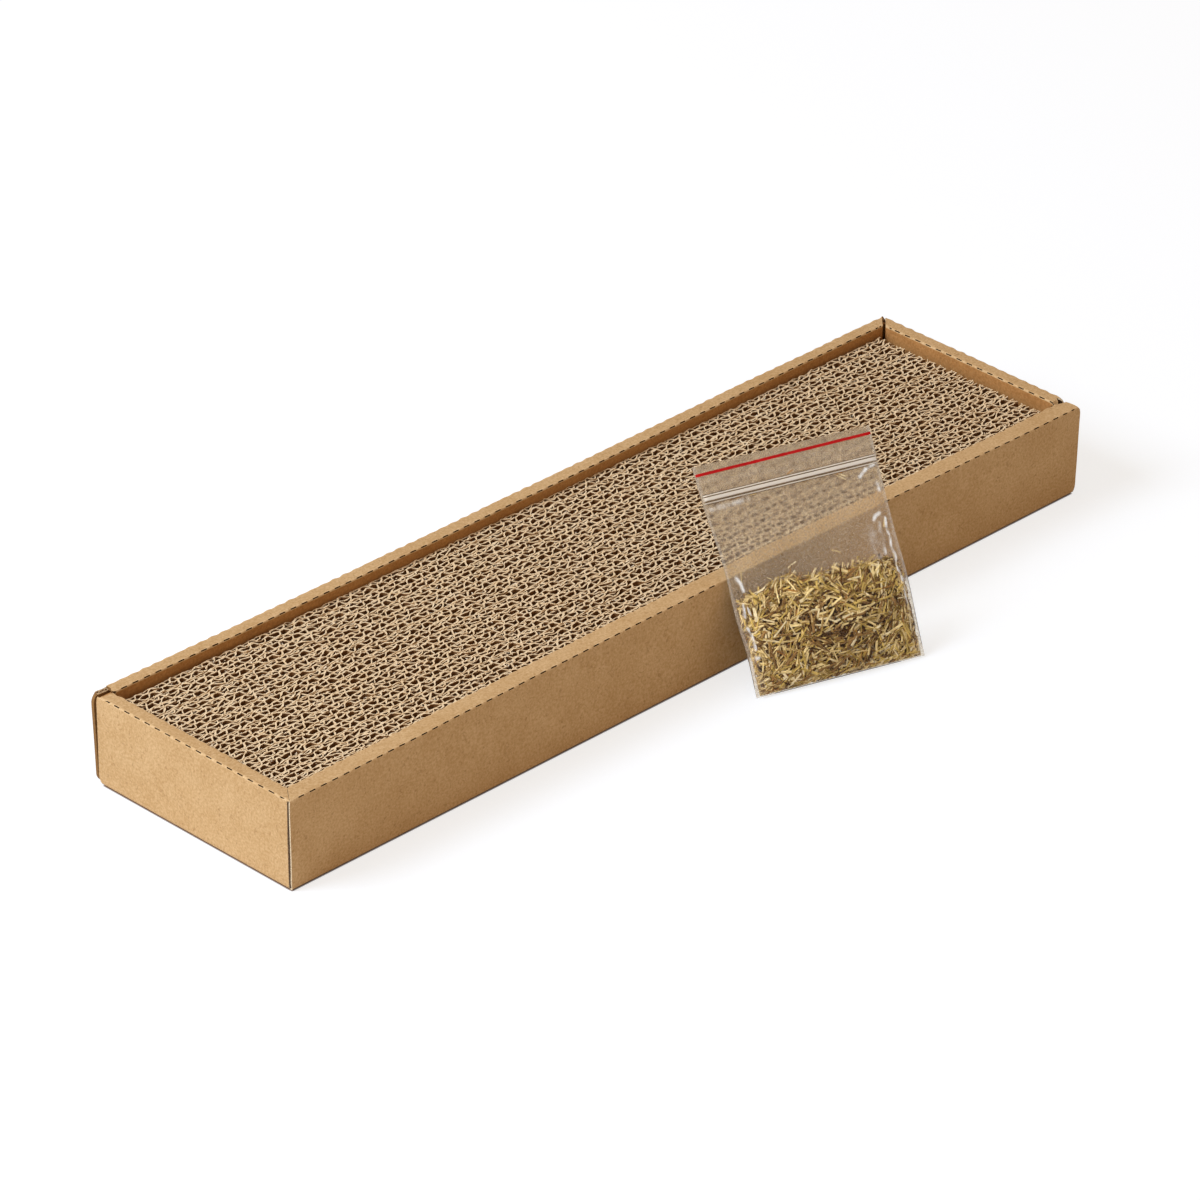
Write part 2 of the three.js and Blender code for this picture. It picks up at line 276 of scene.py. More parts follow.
    def add_rods(self, ring: Vec, finish: Vec) -> None:
        """Add closed rods, each from its rings of points.

        Args:
            ring: Points by rod, station along, place around and coordinate. The places around turn
                anticlockwise as seen from the far end, and their number is even.
            finish: Number of the finish of each rod.
        """
        rods, stations, around = ring.shape[:3]
        number = np.arange(rods * stations * around).reshape(rods, stations, around) + self.add_points(ring)
        wrapped = np.concatenate([number, number[:, :, :1]], axis=2)
        corners = [wrapped[:, :-1, :-1], wrapped[:, :-1, 1:], wrapped[:, 1:, 1:], wrapped[:, 1:, :-1]]
        length = np.linalg.norm(ring[:, -1].mean(axis=1) - ring[:, 0].mean(axis=1), axis=1)
        girth = self.girth_share * np.linalg.norm(ring[:, 1, 0] - ring[:, 1, around // 2], axis=1)
        station, step = np.meshgrid(np.arange(stations - 1), np.arange(around), indexing="ij")
        run = np.stack([station, station, station + 1, station + 1], axis=-1) / (stations - 1)
        turn = np.stack([step, step + 1, step + 1, step], axis=-1) / around
        places = np.stack([run[None] * length[:, None, None, None],
                           turn[None] * girth[:, None, None, None]], axis=-1)
        self.add_quads(np.stack(corners, axis=-1), np.repeat(finish, (stations - 1) * around), places)
        for place in range(around // 2 - 1):
            lid = [place, place + 1, around - 2 - place, around - 1 - place]
            self.add_quads(number[:, -1][:, lid], finish)
            self.add_quads(number[:, 0][:, lid[::-1]], finish)

    def build(self, name: str, finishes: list[Material], sharp: float = 38) -> Object:
        """Make the Blender object.

        Args:
            name: Name of the piece.
            finishes: Its materials, in the order of the finish numbers.
            sharp: Angle in degrees above which an edge is drawn sharp.

        Returns:
            The object, at the origin, linked to the scene.
        """
        points = np.concatenate(self.points)
        quads = np.concatenate(self.quads)
        used, numbers = np.unique(quads, return_inverse=True)
        mesh = bpy.data.meshes.new(name)
        mesh.vertices.add(len(used))
        mesh.vertices.foreach_set("co", (points[used] * MM).astype(np.float32).ravel())
        mesh.loops.add(numbers.size)
        mesh.loops.foreach_set("vertex_index", numbers.ravel().astype(np.int32))
        mesh.polygons.add(len(quads))
        mesh.polygons.foreach_set("loop_start", np.arange(0, numbers.size, 4, dtype=np.int32))
        for finish in finishes:
            mesh.materials.append(finish)
        mesh.polygons.foreach_set("material_index", np.concatenate(self.finishes).astype(np.int32))
        mesh.update(calc_edges=True)
        edge_layer = mesh.uv_layers.new(name="cut_edge")
        edge_layer.uv.foreach_set("vector", np.concatenate(self.edge_places).astype(np.float32).ravel())
        marks = np.concatenate(self.marks)[used]
        if marks.any():
            layer = mesh.attributes.new("crease", "FLOAT", "POINT")
            layer.data.foreach_set("value", marks.astype(np.float32))
        mesh.shade_smooth()
        mesh.set_sharp_from_angle(angle=math.radians(sharp))
        piece = bpy.data.objects.new(name, mesh)
        bpy.context.scene.collection.objects.link(piece)
        return piece


def cell_corners(numbers: Vec) -> Vec:
    """Give the four corner numbers of every cell of a grid of point numbers."""
    corners = [numbers[:-1, :-1], numbers[1:, :-1], numbers[1:, 1:], numbers[:-1, 1:]]
    return np.stack(corners, axis=-1)


def place_piece(piece: Object, body: str, slot: str, *nodes: str) -> None:
    """Let a piece ride on a body and stand for CAD nodes, and report it.

    Args:
        piece: The piece.
        body: CAD body that carries it.
        slot: Material slot of the record; not used.
        *nodes: CAD nodes that it stands for.
    """
    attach(piece, body)
    if nodes:
        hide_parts(*nodes)
    LOG.info("%s: %d faces, rides on %s", piece.name, len(piece.data.polygons), body)


# Finishes


class Nodes:
    """The node tree of a new material or of the world."""

    def __init__(self, tree: bpy.types.NodeTree) -> None:
        """Take over a tree and empty it."""
        self.tree = tree
        tree.nodes.clear()

    def add(self, kind: str, inputs: dict[str | int, object] | None = None,
            **settings: object) -> Node:
        """Add a node with its settings and links.

        Args:
            kind: Blender's name of the node type, without the words Shader and Node in front.
            inputs: Values of its sockets, or what they are linked to: an output, or a node for its first.
            **settings: Values of its properties.

        Returns:
            The node.
        """
        node = self.tree.nodes.new("ShaderNode" + kind)
        for key, value in settings.items():
            setattr(node, key, value)
        for key, value in (inputs or {}).items():
            source = value.outputs[0] if isinstance(value, Node) else value
            if isinstance(source, bpy.types.NodeSocket):
                self.tree.links.new(source, node.inputs[key])
            else:
                node.inputs[key].default_value = source
        return node

    def noise(self, place: object, size: float, detail: float = 2.0, **more: float) -> Node:
        """Add a noise pattern.

        Args:
            place: Place at which it is read.
            size: Width of one of its spots in millimetres.
            detail: Number of finer layers.
            **more: Values of other sockets.

        Returns:
            The node, whose first output goes from 0 to 1 and is mostly close to a half.
        """
        return self.add("TexNoise", {"Vector": place, "Scale": per_mm(size), "Detail": detail, **more})

    def calculate(self, operation: str, *values: object, clamp: bool = False) -> Node:
        """Add a sum on one to three values, with its result kept between 0 and 1 if clamp is set."""
        return self.add("Math", dict(enumerate(values)), operation=operation, use_clamp=clamp)

    def spread(self, value: object, window: tuple[float, float],
               result: tuple[float, float] = (0.0, 1.0)) -> Node:
        """Spread a value out: where it goes through the window, the output goes through the result."""
        return self.add("MapRange", {"Value": value, "From Min": window[0], "From Max": window[1],
                                     "To Min": result[0], "To Max": result[1]})

    def mix_colours(self, share: object, first: object, second: object) -> bpy.types.NodeSocket:
        """Mix two colours by the share of the second, and give the output."""
        return self.add("Mix", {0: share, 6: first, 7: second}, data_type="RGBA").outputs[2]

    def mix_shaders(self, share: object, first: object, second: object) -> Node:
        """Mix two shaders by the share of the second."""
        return self.add("MixShader", {0: share, 1: first, 2: second})

    def bump(self, height: object, strength: float, depth: float) -> Node:
        """Add the shading of a fine relief from 0 to 1, with its depth in metres."""
        return self.add("Bump", {"Height": height, "Strength": strength, "Distance": depth})

    def seen(self) -> Node:
        """Tell what the camera sees from the rest of the light.

        Returns:
            Node that gives 1 for what is seen directly, mirrored or through film, and 0 otherwise.
        """
        path = self.add("LightPath")
        direct = self.calculate("MAXIMUM", path.outputs["Is Camera Ray"], path.outputs["Is Glossy Ray"])
        return self.calculate("MAXIMUM", direct, path.outputs["Is Transmission Ray"])


def new_material(name: str) -> tuple[Material, Nodes]:
    """Make a material with an empty node tree.

    Args:
        name: Name of the material.

    Returns:
        The material, and the nodes to fill.
    """
    material = bpy.data.materials.new(name)
    material.use_nodes = True
    return material, Nodes(material.node_tree)


@dataclass(frozen=True)
class Board:
    """Kraft liner of corrugated board: unbleached wood fibre, pressed and left uncoated.

    It gives the eye a dull warm brown with faint clouds, a speckled grain and short darker fibres.
    Paper has an IOR near 1.5 and no gloss to speak of. Real fibres are finer than a pixel, so the grain
    is drawn at about a millimetre. Each window says between which values of its noise a mark comes up.
    """

    name: str = "kraft_liner_board"
    colour: str = "#d8ba90"
    dark_colour: str = "#bf9c6d"
    fibre_colour: str = "#966d3d"
    cloud_size: float = 16.0
    cloud_share: float = 0.3
    cloud_window: tuple[float, float] = (0.35, 0.65)
    grain_size: float = 1.1
    grain_share: float = 0.85
    grain_window: tuple[float, float] = (0.32, 0.68)
    fibre_size: float = 2.6
    fibre_share: float = 0.4
    fibre_window: tuple[float, float] = (0.6, 0.68)
    fibre_twist: float = 2.2
    roughness: float = 0.86
    ior: float = 1.5
    bump: float = 0.4
    bump_depth: float = 0.00015

    def make(self) -> Material:
        """Build the material.

        Returns:
            The material, with its nodes linked.
        """
        material, nodes = new_material(self.name)
        place = nodes.add("TexCoord").outputs["Object"]
        cloud = nodes.noise(place, self.cloud_size, detail=4.0)
        grain = nodes.noise(place, self.grain_size, Roughness=0.6)
        fibre = nodes.noise(place, self.fibre_size, Distortion=self.fibre_twist)
        clouded = nodes.spread(cloud, self.cloud_window, (0.0, self.cloud_share))
        grained = nodes.spread(grain, self.grain_window, (0.0, self.grain_share))
        threads = nodes.spread(fibre, self.fibre_window, (0.0, self.fibre_share))
        mottle = nodes.calculate("ADD", clouded, grained)
        tone = nodes.mix_colours(mottle, linear(self.colour), linear(self.dark_colour))
        paper = nodes.mix_colours(threads, tone, linear(self.fibre_colour))
        relief = nodes.bump(grain, self.bump, self.bump_depth)
        skin = nodes.add("BsdfPrincipled", {"Base Color": paper, "Roughness": self.roughness,
                                            "IOR": self.ior, "Normal": relief})
        nodes.add("OutputMaterial", {"Surface": skin})
        return material


@dataclass(frozen=True)
class CutEdge:
    """Cut edge of corrugated board: pale liners, with painted shade for the hollow between them.

    Where the cut runs across the flutes, their arches cross the hollow. Where it runs along them, the
    knife has pressed the inner liner in, and the outer one stands pale. The pattern follows the edge by
    the cut_edge map, whose first place is millimetres along the edge and whose second is the share of
    the board's thickness. The paper is worn in spots.
    """

    name: str = "cut_edge_across_flutes"
    waved: bool = True
    liner_colour: str = "#dcc19b"
    # Painted shade: the flute hollows and the pressed-in liner of a cut edge are drawn in this dark colour.
    hollow_colour: str = "#5f4121"
    flute_pitch: float = 3.2
    flute_width: float = 0.15
    liner_share: float = 0.22
    wear_size: float = 0.6
    wear_window: tuple[float, float] = (0.35, 0.6)
    worn_share: float = 0.5
    roughness: float = 0.92
    ior: float = 1.5
    bump: float = 0.6
    bump_depth: float = 0.0003

    def make(self) -> Material:
        """Build the material.

        Returns:
            The material, with its nodes linked.
        """
        material, nodes = new_material(self.name)
        place = nodes.add("SeparateXYZ", {0: nodes.add("UVMap", uv_map="cut_edge")})
        if self.waved:
            middle = nodes.calculate("SUBTRACT", place.outputs[1], 0.5)
            off_middle = nodes.calculate("ABSOLUTE", middle)
            liners = nodes.calculate("GREATER_THAN", off_middle, 0.5 - self.liner_share)
            turn = nodes.calculate("MULTIPLY", place.outputs[0], 2 * math.pi / self.flute_pitch)
            wave = nodes.calculate("SINE", turn)
            height = nodes.calculate("MULTIPLY_ADD", wave, 0.5 - self.liner_share, 0.5)
            flute = nodes.calculate("COMPARE", place.outputs[1], height, self.flute_width)
            paper = nodes.calculate("MAXIMUM", flute, liners)
        else:
            paper = nodes.calculate("LESS_THAN", place.outputs[1], self.liner_share)
        wear = nodes.noise(nodes.add("TexCoord").outputs["Object"], self.wear_size)
        left_over = nodes.spread(wear, self.wear_window, (self.worn_share, 1.0))
        share = nodes.calculate("MULTIPLY", paper, left_over)
        tone = nodes.mix_colours(share, linear(self.hollow_colour), linear(self.liner_colour))
        relief = nodes.bump(paper, self.bump, self.bump_depth)
        skin = nodes.add("BsdfPrincipled", {"Base Color": tone, "Roughness": self.roughness,
                                            "IOR": self.ior, "Normal": relief})
        nodes.add("OutputMaterial", {"Surface": skin})
        return material


@dataclass(frozen=True)
class Film:
    """Low-density polyethylene film, blown and 0.05 mm thick: glossy and clear, with a slight haze.

    The haze comes from a slightly rough refraction, so what lies close behind stays clear, and from
    specks of the catnip's fine dust on it. A crease or a weld turns white where its mark is above zero,
    and there it also gets a painted highlight, a strong mirror share that shows the white world. Where
    the fill presses on the film the mark is below zero, and most of the dust and the gloss goes. Shadow
    rays pass with the film's own small loss.
    """

    name: str = "polyethylene_film"
    tint: str = "#fcfbf8"
    shadow_tint: str = "#faf8f5"
    haze_colour: str = "#d6c1ac"
    haze: float = 0.04
    dust_haze: float = 0.27
    dust_size: float = 0.8
    dust_window: tuple[float, float] = (0.46, 0.68)
    crease_haze: float = 0.3
    crease_gloss: float = 0.7
    roughness: float = 0.105
    gloss_share: float = 0.22
    gloss_roughness: float = 0.08
    pressed_mark: float = -0.4
    pressed_share: float = 0.15
    ripple_size: float = 6.0
    ripple_bump: float = 0.3
    ripple_depth: float = 0.0003
    ior: float = 1.51

    def make(self) -> Material:
        """Build the material.

        Returns:
            The material, with its nodes linked.
        """
        material, nodes = new_material(self.name)
        place = nodes.add("TexCoord").outputs["Object"]
        ripple = nodes.noise(place, self.ripple_size, detail=3.0)
        rippled = nodes.bump(ripple, self.ripple_bump, self.ripple_depth)
        see_through = nodes.add("BsdfRefraction", {"Color": linear(self.tint), "Roughness": self.roughness,
                                                   "IOR": self.ior})
        milk = nodes.add("BsdfDiffuse", {"Color": linear(self.haze_colour)})
        mark = nodes.add("Attribute", attribute_name="crease").outputs["Fac"]
        specks = nodes.noise(place, self.dust_size)
        dust = nodes.spread(specks, self.dust_window, (self.haze, self.dust_haze))
        free_share = nodes.spread(mark, (self.pressed_mark, 0.0), (self.pressed_share, 1.0))
        loose_dust = nodes.calculate("MULTIPLY", dust, free_share)
        creased = nodes.calculate("MAXIMUM", mark, 0.0)
        stress = nodes.calculate("MULTIPLY_ADD", creased, self.crease_haze, loose_dust)
        hazy = nodes.mix_shaders(stress, see_through, milk)
        gloss = nodes.add("BsdfGlossy", {"Color": linear("#ffffff"), "Roughness": self.gloss_roughness,
                                         "Normal": rippled})
        fresnel = nodes.add("Fresnel", {"IOR": self.ior, "Normal": rippled})
        free_gloss = nodes.calculate("MULTIPLY", free_share, self.gloss_share)
        plain_shine = nodes.calculate("MULTIPLY", fresnel, free_gloss)
        # Painted highlight: along creases and welds the mirror share rises with the mark, whatever the angle.
        shine = nodes.calculate("MULTIPLY_ADD", creased, self.crease_gloss, plain_shine)
        film = nodes.mix_shaders(shine, hazy, gloss)
        clear = nodes.add("BsdfTransparent", {"Color": linear(self.shadow_tint)})
        shown = nodes.mix_shaders(nodes.add("LightPath").outputs["Is Shadow Ray"], film, clear)
        nodes.add("OutputMaterial", {"Surface": shown})
        return material


@dataclass(frozen=True)
class Plastic:
    """Polyethylene thicker than film, or printed with an ink line: a soft gloss over a plain colour.

    The thick ridges of the seal scatter light and look milky, while the thin web between them is clear, with
    a tint that is partly painted shade between the ridges.
    The covers say how much of what lies behind they hide.
    """

    name: str
    colour: str
    thin_cover: float
    thick_cover: float
    gloss: float = 0.0
    roughness: float = 0.28
    specular: float = 0.5
    speck_size: float = 2.5
    speck_share: float = 0.12
    speck_window: tuple[float, float] = (0.3, 0.7)
    # Partly the film's own tint, partly painted shade in the web between the ridges.
    web_tint: str = "#e9e2d8"
    ior: float = 1.51

    def make(self) -> Material:
        """Build the material.

        Returns:
            The material, with its nodes linked.
        """
        material, nodes = new_material(self.name)
        uneven = nodes.noise(nodes.add("TexCoord").outputs["Object"], self.speck_size, detail=3.0)
        share = nodes.spread(uneven, self.speck_window, (0.0, self.speck_share))
        tone = nodes.mix_colours(share, linear(self.colour), linear("#ffffff"))
        dull = nodes.add("BsdfPrincipled", {"Base Color": tone, "Roughness": self.roughness,
                                            "IOR": self.ior, "Specular IOR Level": self.specular})
        shine = nodes.add("BsdfGlossy", {"Color": linear("#ffffff"), "Roughness": self.roughness})
        skin = nodes.mix_shaders(self.gloss, dull, shine)
        clear = nodes.add("BsdfTransparent", {"Color": linear(self.web_tint)})
        ridge = nodes.add("Attribute", attribute_name="crease").outputs["Fac"]
        cover = nodes.spread(ridge, (0.0, 1.0), (self.thin_cover, self.thick_cover))
        nodes.add("OutputMaterial", {"Surface": nodes.mix_shaders(cover, clear, skin)})
        return material


@dataclass(frozen=True)
class Stalk:
    """Dried catnip stalk: chopped and sun-dried, dull, streaked along its length, paler where it split.

    The streaks follow each stalk by the cut_edge map, whose first place is millimetres along it and whose
    second is millimetres around it, and every stalk gets its own tone. Leaf dust has no streaks.
    """

    name: str
    colour: str
    streak_colour: str
    streak_size: float = 0.7
    streak_length: float = 5.0
    streak_window: tuple[float, float] = (0.36, 0.64)
    streaked: bool = True
    own_tone: float = 0.65
    own_shift: float = 90.0
    roughness: float = 0.6
    specular: float = 0.2
    ior: float = 1.45
    bump: float = 0.6
    bump_depth: float = 0.0002

    def make(self) -> Material:
        """Build the material.

        Returns:
            The material, with its nodes linked.
        """
        material, nodes = new_material(self.name)
        own = nodes.add("NewGeometry").outputs["Random Per Island"]
        if self.streaked:
            place = nodes.add("SeparateXYZ", {0: nodes.add("UVMap", uv_map="cut_edge")})
            run = nodes.calculate("MULTIPLY", place.outputs[0], 1 / self.streak_length)
            turn = nodes.calculate("MULTIPLY", place.outputs[1], 1 / self.streak_size)
            shift = nodes.calculate("MULTIPLY", own, self.own_shift)
            spot = nodes.add("CombineXYZ", {0: run, 1: turn, 2: shift})
            streak = nodes.add("TexNoise", {"Vector": spot, "Scale": 1.0, "Detail": 2.0, "Roughness": 0.6})
        else:
            place = nodes.add("TexCoord").outputs["Object"]
            streak = nodes.noise(place, self.streak_size, detail=3.0, Roughness=0.65)
        lowest = -self.own_tone / 2
        uneven = nodes.spread(streak, self.streak_window, (lowest, 1 + lowest))
        share = nodes.calculate("MULTIPLY_ADD", own, self.own_tone, uneven, clamp=True)
        tone = nodes.mix_colours(share, linear(self.colour), linear(self.streak_colour))
        relief = nodes.bump(streak, self.bump, self.bump_depth)
        skin = nodes.add("BsdfPrincipled", {"Base Color": tone, "Roughness": self.roughness, "IOR": self.ior,
                                            "Specular IOR Level": self.specular, "Normal": relief})
        nodes.add("OutputMaterial", {"Surface": skin})
        return material


class WallFinish(IntEnum):
    """Finishes of a folded wall, by their places in its list."""

    LINER = 0
    INSIDE = 1
    CUT_END = 2
    # Rim folds, in a paler board: crease whitening and a painted highlight.
    FOLD = 3
    CUT_SIDE = 4
    # Inner panels, in a darker copy of the board as painted shade.
    TURNED_IN = 5
    # Foot of the walls and inside the perforation cuts, as painted shade.
    SCUFFED = 6


class StripFinish(IntEnum):
    """Finishes of a strip of the pad, by their places in its list."""

    FLUTING = 0
    FIBRE = 1
    SCRAP = 2


class CatnipFinish(IntEnum):
    """Finishes of the catnip, by their places in its list."""

    STRAW = 0
    OLIVE = 1
    BROWN = 2
    RUST = 3
    PALE = 4
    DUST = 5
    GREY = 6


def made(look: Board | CutEdge | Film | Plastic) -> Material:
    """Let a field hold the material of a look, made together with the set."""
    return field(default_factory=look.make)


@dataclass
class FinishSet:
    """All the finishes of the scratch board, made once and shared by its pieces."""

    liner: Material = made(Board())
    # Rim folds: partly the whitening of creased board, partly a painted highlight on the rounded folds.
    crease: Material = made(Board(
        name="creased_kraft_board", colour="#e3c8a1", dark_colour="#cba97a", fibre_share=0.25,
        bump=0.7))
    # Painted shade: the inner panels, which face into the tray, get a darker copy of the board.
    turned: Material = made(Board(
        name="kraft_board_turned_in", colour="#c4935b", dark_colour="#aa7842"))
    # Painted shade: dark brown board at the foot of the walls, where they meet the floor, and inside the
    # perforation cuts.
    scuffed: Material = made(Board(
        name="scuffed_kraft_fold", colour="#70502b", dark_colour="#54391c", fibre_colour="#432c14"))
    inside: Material = made(Board(
        name="recycled_inner_liner", colour="#96703f", dark_colour="#7c5a31"))
    cut_end: Material = made(CutEdge(
        name="cut_edge_along_flutes", waved=False, liner_share=0.46, liner_colour="#ecdcc0",
        hollow_colour="#3b2510"))
    cut_side: Material = made(CutEdge())
    # The pad's paper below the top band: recycled fluting, darkened further as painted shade in the cells.
    strip: Material = made(Board(
        name="recycled_fluting_paper", colour="#986e41", dark_colour="#724b27", fibre_colour="#6b4a26",
        cloud_size=9.0, grain_size=0.9, roughness=0.93, bump=0.6))
    # Top edges of the pad's paper: pale cut fibre, lightened further as painted light on the lit tops.
    fibre: Material = made(Board(
        name="cut_paper_fibre", colour="#f6e8cf", dark_colour="#e3caa5", fibre_colour="#b48d56",
        cloud_size=5.0, grain_size=1.0, roughness=0.95, bump=0.8))
    scrap: Material = made(Board(
        name="torn_paper_scrap", colour="#fffaf0", dark_colour="#f0dfc4", fibre_colour="#d8bd91",
        roughness=0.95))
    film: Material = made(Film())
    zip_seal: Material = made(Plastic(
        name="milky_polyethylene", colour="#efe8da", thin_cover=0.06, thick_cover=0.95,
        gloss=0.3))
    red_line: Material = made(Plastic(
        name="red_ink_line", colour="#d2121d", thin_cover=0.97, thick_cover=0.97, roughness=0.5,
        specular=0.15, speck_share=0.01))
    stalks: list[Material] = field(default_factory=lambda: [
        Stalk("dried_stalk_straw", "#fadfa4", "#937039").make(),
        Stalk("dried_stalk_olive", "#dcba6a", "#6c5020").make(),
        Stalk("dried_stalk_brown", "#a07846", "#4a3015").make(),
        Stalk("dried_stalk_rust", "#b98848", "#774c24").make(),
        Stalk("dried_stalk_pale", "#f0deba", "#ccb07c").make(),
        # Leaf dust, in a dark colour that is partly painted shade in the gaps between the stalks.
        Stalk("dried_leaf_dust", "#5e3b16", "#35200b", 1.6, streaked=False).make(),
        Stalk("dried_leaf_grey", "#a99779", "#77644a", 1.2, streaked=False).make(),
    ])

    def of_wall(self) -> list[Material]:
        """List the finishes of a wall in the order of WallFinish."""
        return [self.liner, self.inside, self.cut_end, self.crease, self.cut_side, self.turned, self.scuffed]

    def of_strip(self) -> list[Material]:
        """List the finishes of a strip in the order of StripFinish."""
        return [self.strip, self.fibre, self.scrap]


# Studio


@dataclass
class Studio:
    """Camera at the photograph's place, lamps, the world and a pale floor.

    The key lamp is big and soft, from the left and a little behind, and the fill lamp is weak. Distances
    of the lamps and sizes of the floor are in metres, and those of the camera in millimetres.
    """

    azimuth: float = -44.67
    elevation: float = 30.05
    distance: float = 3291.0
    aim_right: float = 1.5
    aim_up: float = -13.7
    lens: float = 226.89
    sensor: float = 36.0
    clip_end: float = 60.0
    floor_reach: float = 9.0
    floor_drop: float = 0.0003
    key_direction: tuple[float, float, float] = (-0.65, 0.33, 0.685)
    key_distance: float = 2.6
    key_size: float = 1.25
    key_level: float = 0.85
    key_colour: str = "#f4fbff"
    fill_direction: tuple[float, float, float] = (-0.78, -0.58, 0.22)
    fill_distance: float = 0.85
    fill_size: float = 0.7
    fill_level: float = 0.07
    fill_colour: str = "#ffe0bd"
    world_level: float = 0.41
    world_colour: str = "#ffdaaf"
    floor_glow: float = 0.74
    floor_colour: str = "#e7e6e4"
    shade_colour: str = "#9ba4b3"
    contact_colour: str = "#8a6038"
    contact_reach: float = 0.0008
    contact_power: float = 3.0

    def set_camera(self) -> None:
        """Make the camera that sees the board as the photograph does."""
        turn, rise = math.radians(self.azimuth), math.radians(self.elevation)
        back = Vector((math.sin(turn) * math.cos(rise), -math.cos(turn) * math.cos(rise), math.sin(rise)))
        right = Vector((math.cos(turn), math.sin(turn), 0))
        up = back.cross(right)
        data = bpy.data.cameras.new("photo_camera")
        data.sensor_fit = "HORIZONTAL"
        data.sensor_width = self.sensor
        data.lens = self.lens
        data.clip_end = self.clip_end
        camera = bpy.data.objects.new("photo_camera", data)
        place = (right * -self.aim_right + up * -self.aim_up + back * self.distance) * MM
        camera.matrix_world = Matrix.Translation(place) @ Matrix((right, up, back)).transposed().to_4x4()
        bpy.context.scene.collection.objects.link(camera)
        bpy.context.scene.camera = camera

    def set_lamp(self, name: str, direction: tuple[float, float, float], distance: float, size: float,
                 level: float, colour: str) -> None:
        """Add a square soft lamp that shines on the board.

        Args:
            name: Name of the lamp.
            direction: Direction from the board to the lamp.
            distance: Distance from the board to the lamp in metres.
            size: Side of the lamp in metres.
            level: Brightness that a white surface facing the lamp gets, where 1 is white.
            colour: Colour of the light.
        """
        towards = Vector(direction).normalized()
        data = bpy.data.lights.new(name, "AREA")
        data.shape = "SQUARE"
        data.size = size
        data.energy = level * math.pi ** 2 * distance ** 2
        data.color = linear(colour)[:3]
        lamp = bpy.data.objects.new(name, data)
        lamp.matrix_world = (Matrix.Translation(towards * distance)
                             @ towards.to_track_quat("Z", "Y").to_matrix().to_4x4())
        bpy.context.scene.collection.objects.link(lamp)

    def set_world(self) -> None:
        """Make the plain world: white where it is seen, directly or in a reflection, and soft elsewhere."""
        world = bpy.data.worlds.new("studio_world")
        bpy.context.scene.world = world
        world.use_nodes = True
        nodes = Nodes(world.node_tree)
        soft = nodes.add("Background", {"Color": linear(self.world_colour), "Strength": self.world_level})
        white = nodes.add("Background", {"Color": linear("#ffffff"), "Strength": 1.0})
        nodes.add("OutputWorld", {"Surface": nodes.mix_shaders(nodes.seen(), soft, white)})

    def set_floor(self) -> None:
        """Lay the pale floor, which reads white, keeps the board's shadow and has a painted brown contact
        shade where it is touched.
        """
        reach, height = self.floor_reach, -self.floor_drop
        corners = [(-reach, -reach), (reach, -reach), (reach, reach), (-reach, reach)]
        mesh = bpy.data.meshes.new("studio_floor")
        mesh.from_pydata([(x, y, height) for x, y in corners], [], [(0, 1, 2, 3)])
        material, nodes = new_material("matt_white_paper_sweep")
        paper = nodes.add("BsdfDiffuse", {"Color": linear(self.floor_colour)})
        # Painted contact shade: near the board the floor's glow fades and its colour turns brown.
        contact = nodes.add("AmbientOcclusion", {"Distance": self.contact_reach}, samples=8)
        open_share = nodes.calculate("POWER", contact.outputs["AO"], self.contact_power)
        tone = nodes.mix_colours(open_share, linear(self.contact_colour), linear(self.shade_colour))
        shaded = nodes.add("BsdfDiffuse", {"Color": tone})
        lit = nodes.calculate("MULTIPLY", open_share, self.floor_glow)
        glow = nodes.add("Emission", {"Color": linear("#ffffff"), "Strength": lit})
        white = nodes.add("AddShader", {0: shaded, 1: glow})
        nodes.add("OutputMaterial", {"Surface": nodes.mix_shaders(nodes.seen(), paper, white)})
        mesh.materials.append(material)
        floor = bpy.data.objects.new("studio_floor", mesh)
        bpy.context.scene.collection.objects.link(floor)

    def build(self) -> None:
        """Set the camera, the lamps, the world and the floor."""
        self.set_camera()
        self.set_lamp("key_softbox", self.key_direction, self.key_distance, self.key_size,
                      self.key_level, self.key_colour)
        self.set_lamp("fill_softbox", self.fill_direction, self.fill_distance, self.fill_size,
                      self.fill_level, self.fill_colour)
        self.set_world()
        self.set_floor()
        bpy.context.scene.view_settings.view_transform = "Standard"


# Tray


class Side(Enum):
    """The four sides of the tray: axis along the wall, place of its outer face, and the way inward."""

    FRONT = (0, -TRAY_HALF_WIDTH, 1)
    BACK = (0, TRAY_HALF_WIDTH, -1)
    LEFT = (1, -TRAY_HALF_LENGTH, 1)
    RIGHT = (1, TRAY_HALF_LENGTH, -1)

    def place(self, along: Vec, inward: Vec, height: Vec) -> Vec:
        """Turn wall places into points.

        Args:
            along: Places along the wall.
            inward: Distances in from the outer face.
            height: Heights above the floor.

        Returns:
            Points, with the coordinate as the last axis.
        """
        axis, outer, towards = self.value
        across = outer + towards * inward
        pair = (along, across) if axis == 0 else (across, along)
        return np.stack([pair[0], pair[1], height], axis=-1)


class EndKind(Enum):
    """How the rim of a wall ends at a corner of the tray."""

    MITRE = "meets its neighbour at a slant"
    LAP = "runs on over the corner, and only the inner panel stops short"
    STOP = "stops short under its neighbour, and only the outer panel runs on"


@dataclass(frozen=True)
class WallEnd:
    """One end of a wall, by places along the wall in millimetres.

    The outer panel ends at panel, the rim goes from its first place at the outer fold to its second at the
    inner fold, and the inner panel ends at inner. The other sizes say how far the end is rounded, cut
    off at the foot, drawn in at half height, torn, sunk past the inner panel's end and slanted.
    """

    kind: EndKind
    panel: float
    rim: tuple[float, float]
    inner: float
    corner: float = 0.6
    chamfer: float = 0.6
    hollow: float = 0.0
    ragged: float = 0.0
    sunk: float = 0.0
    sunk_over: float = 1.5
    slant: float = 0.0


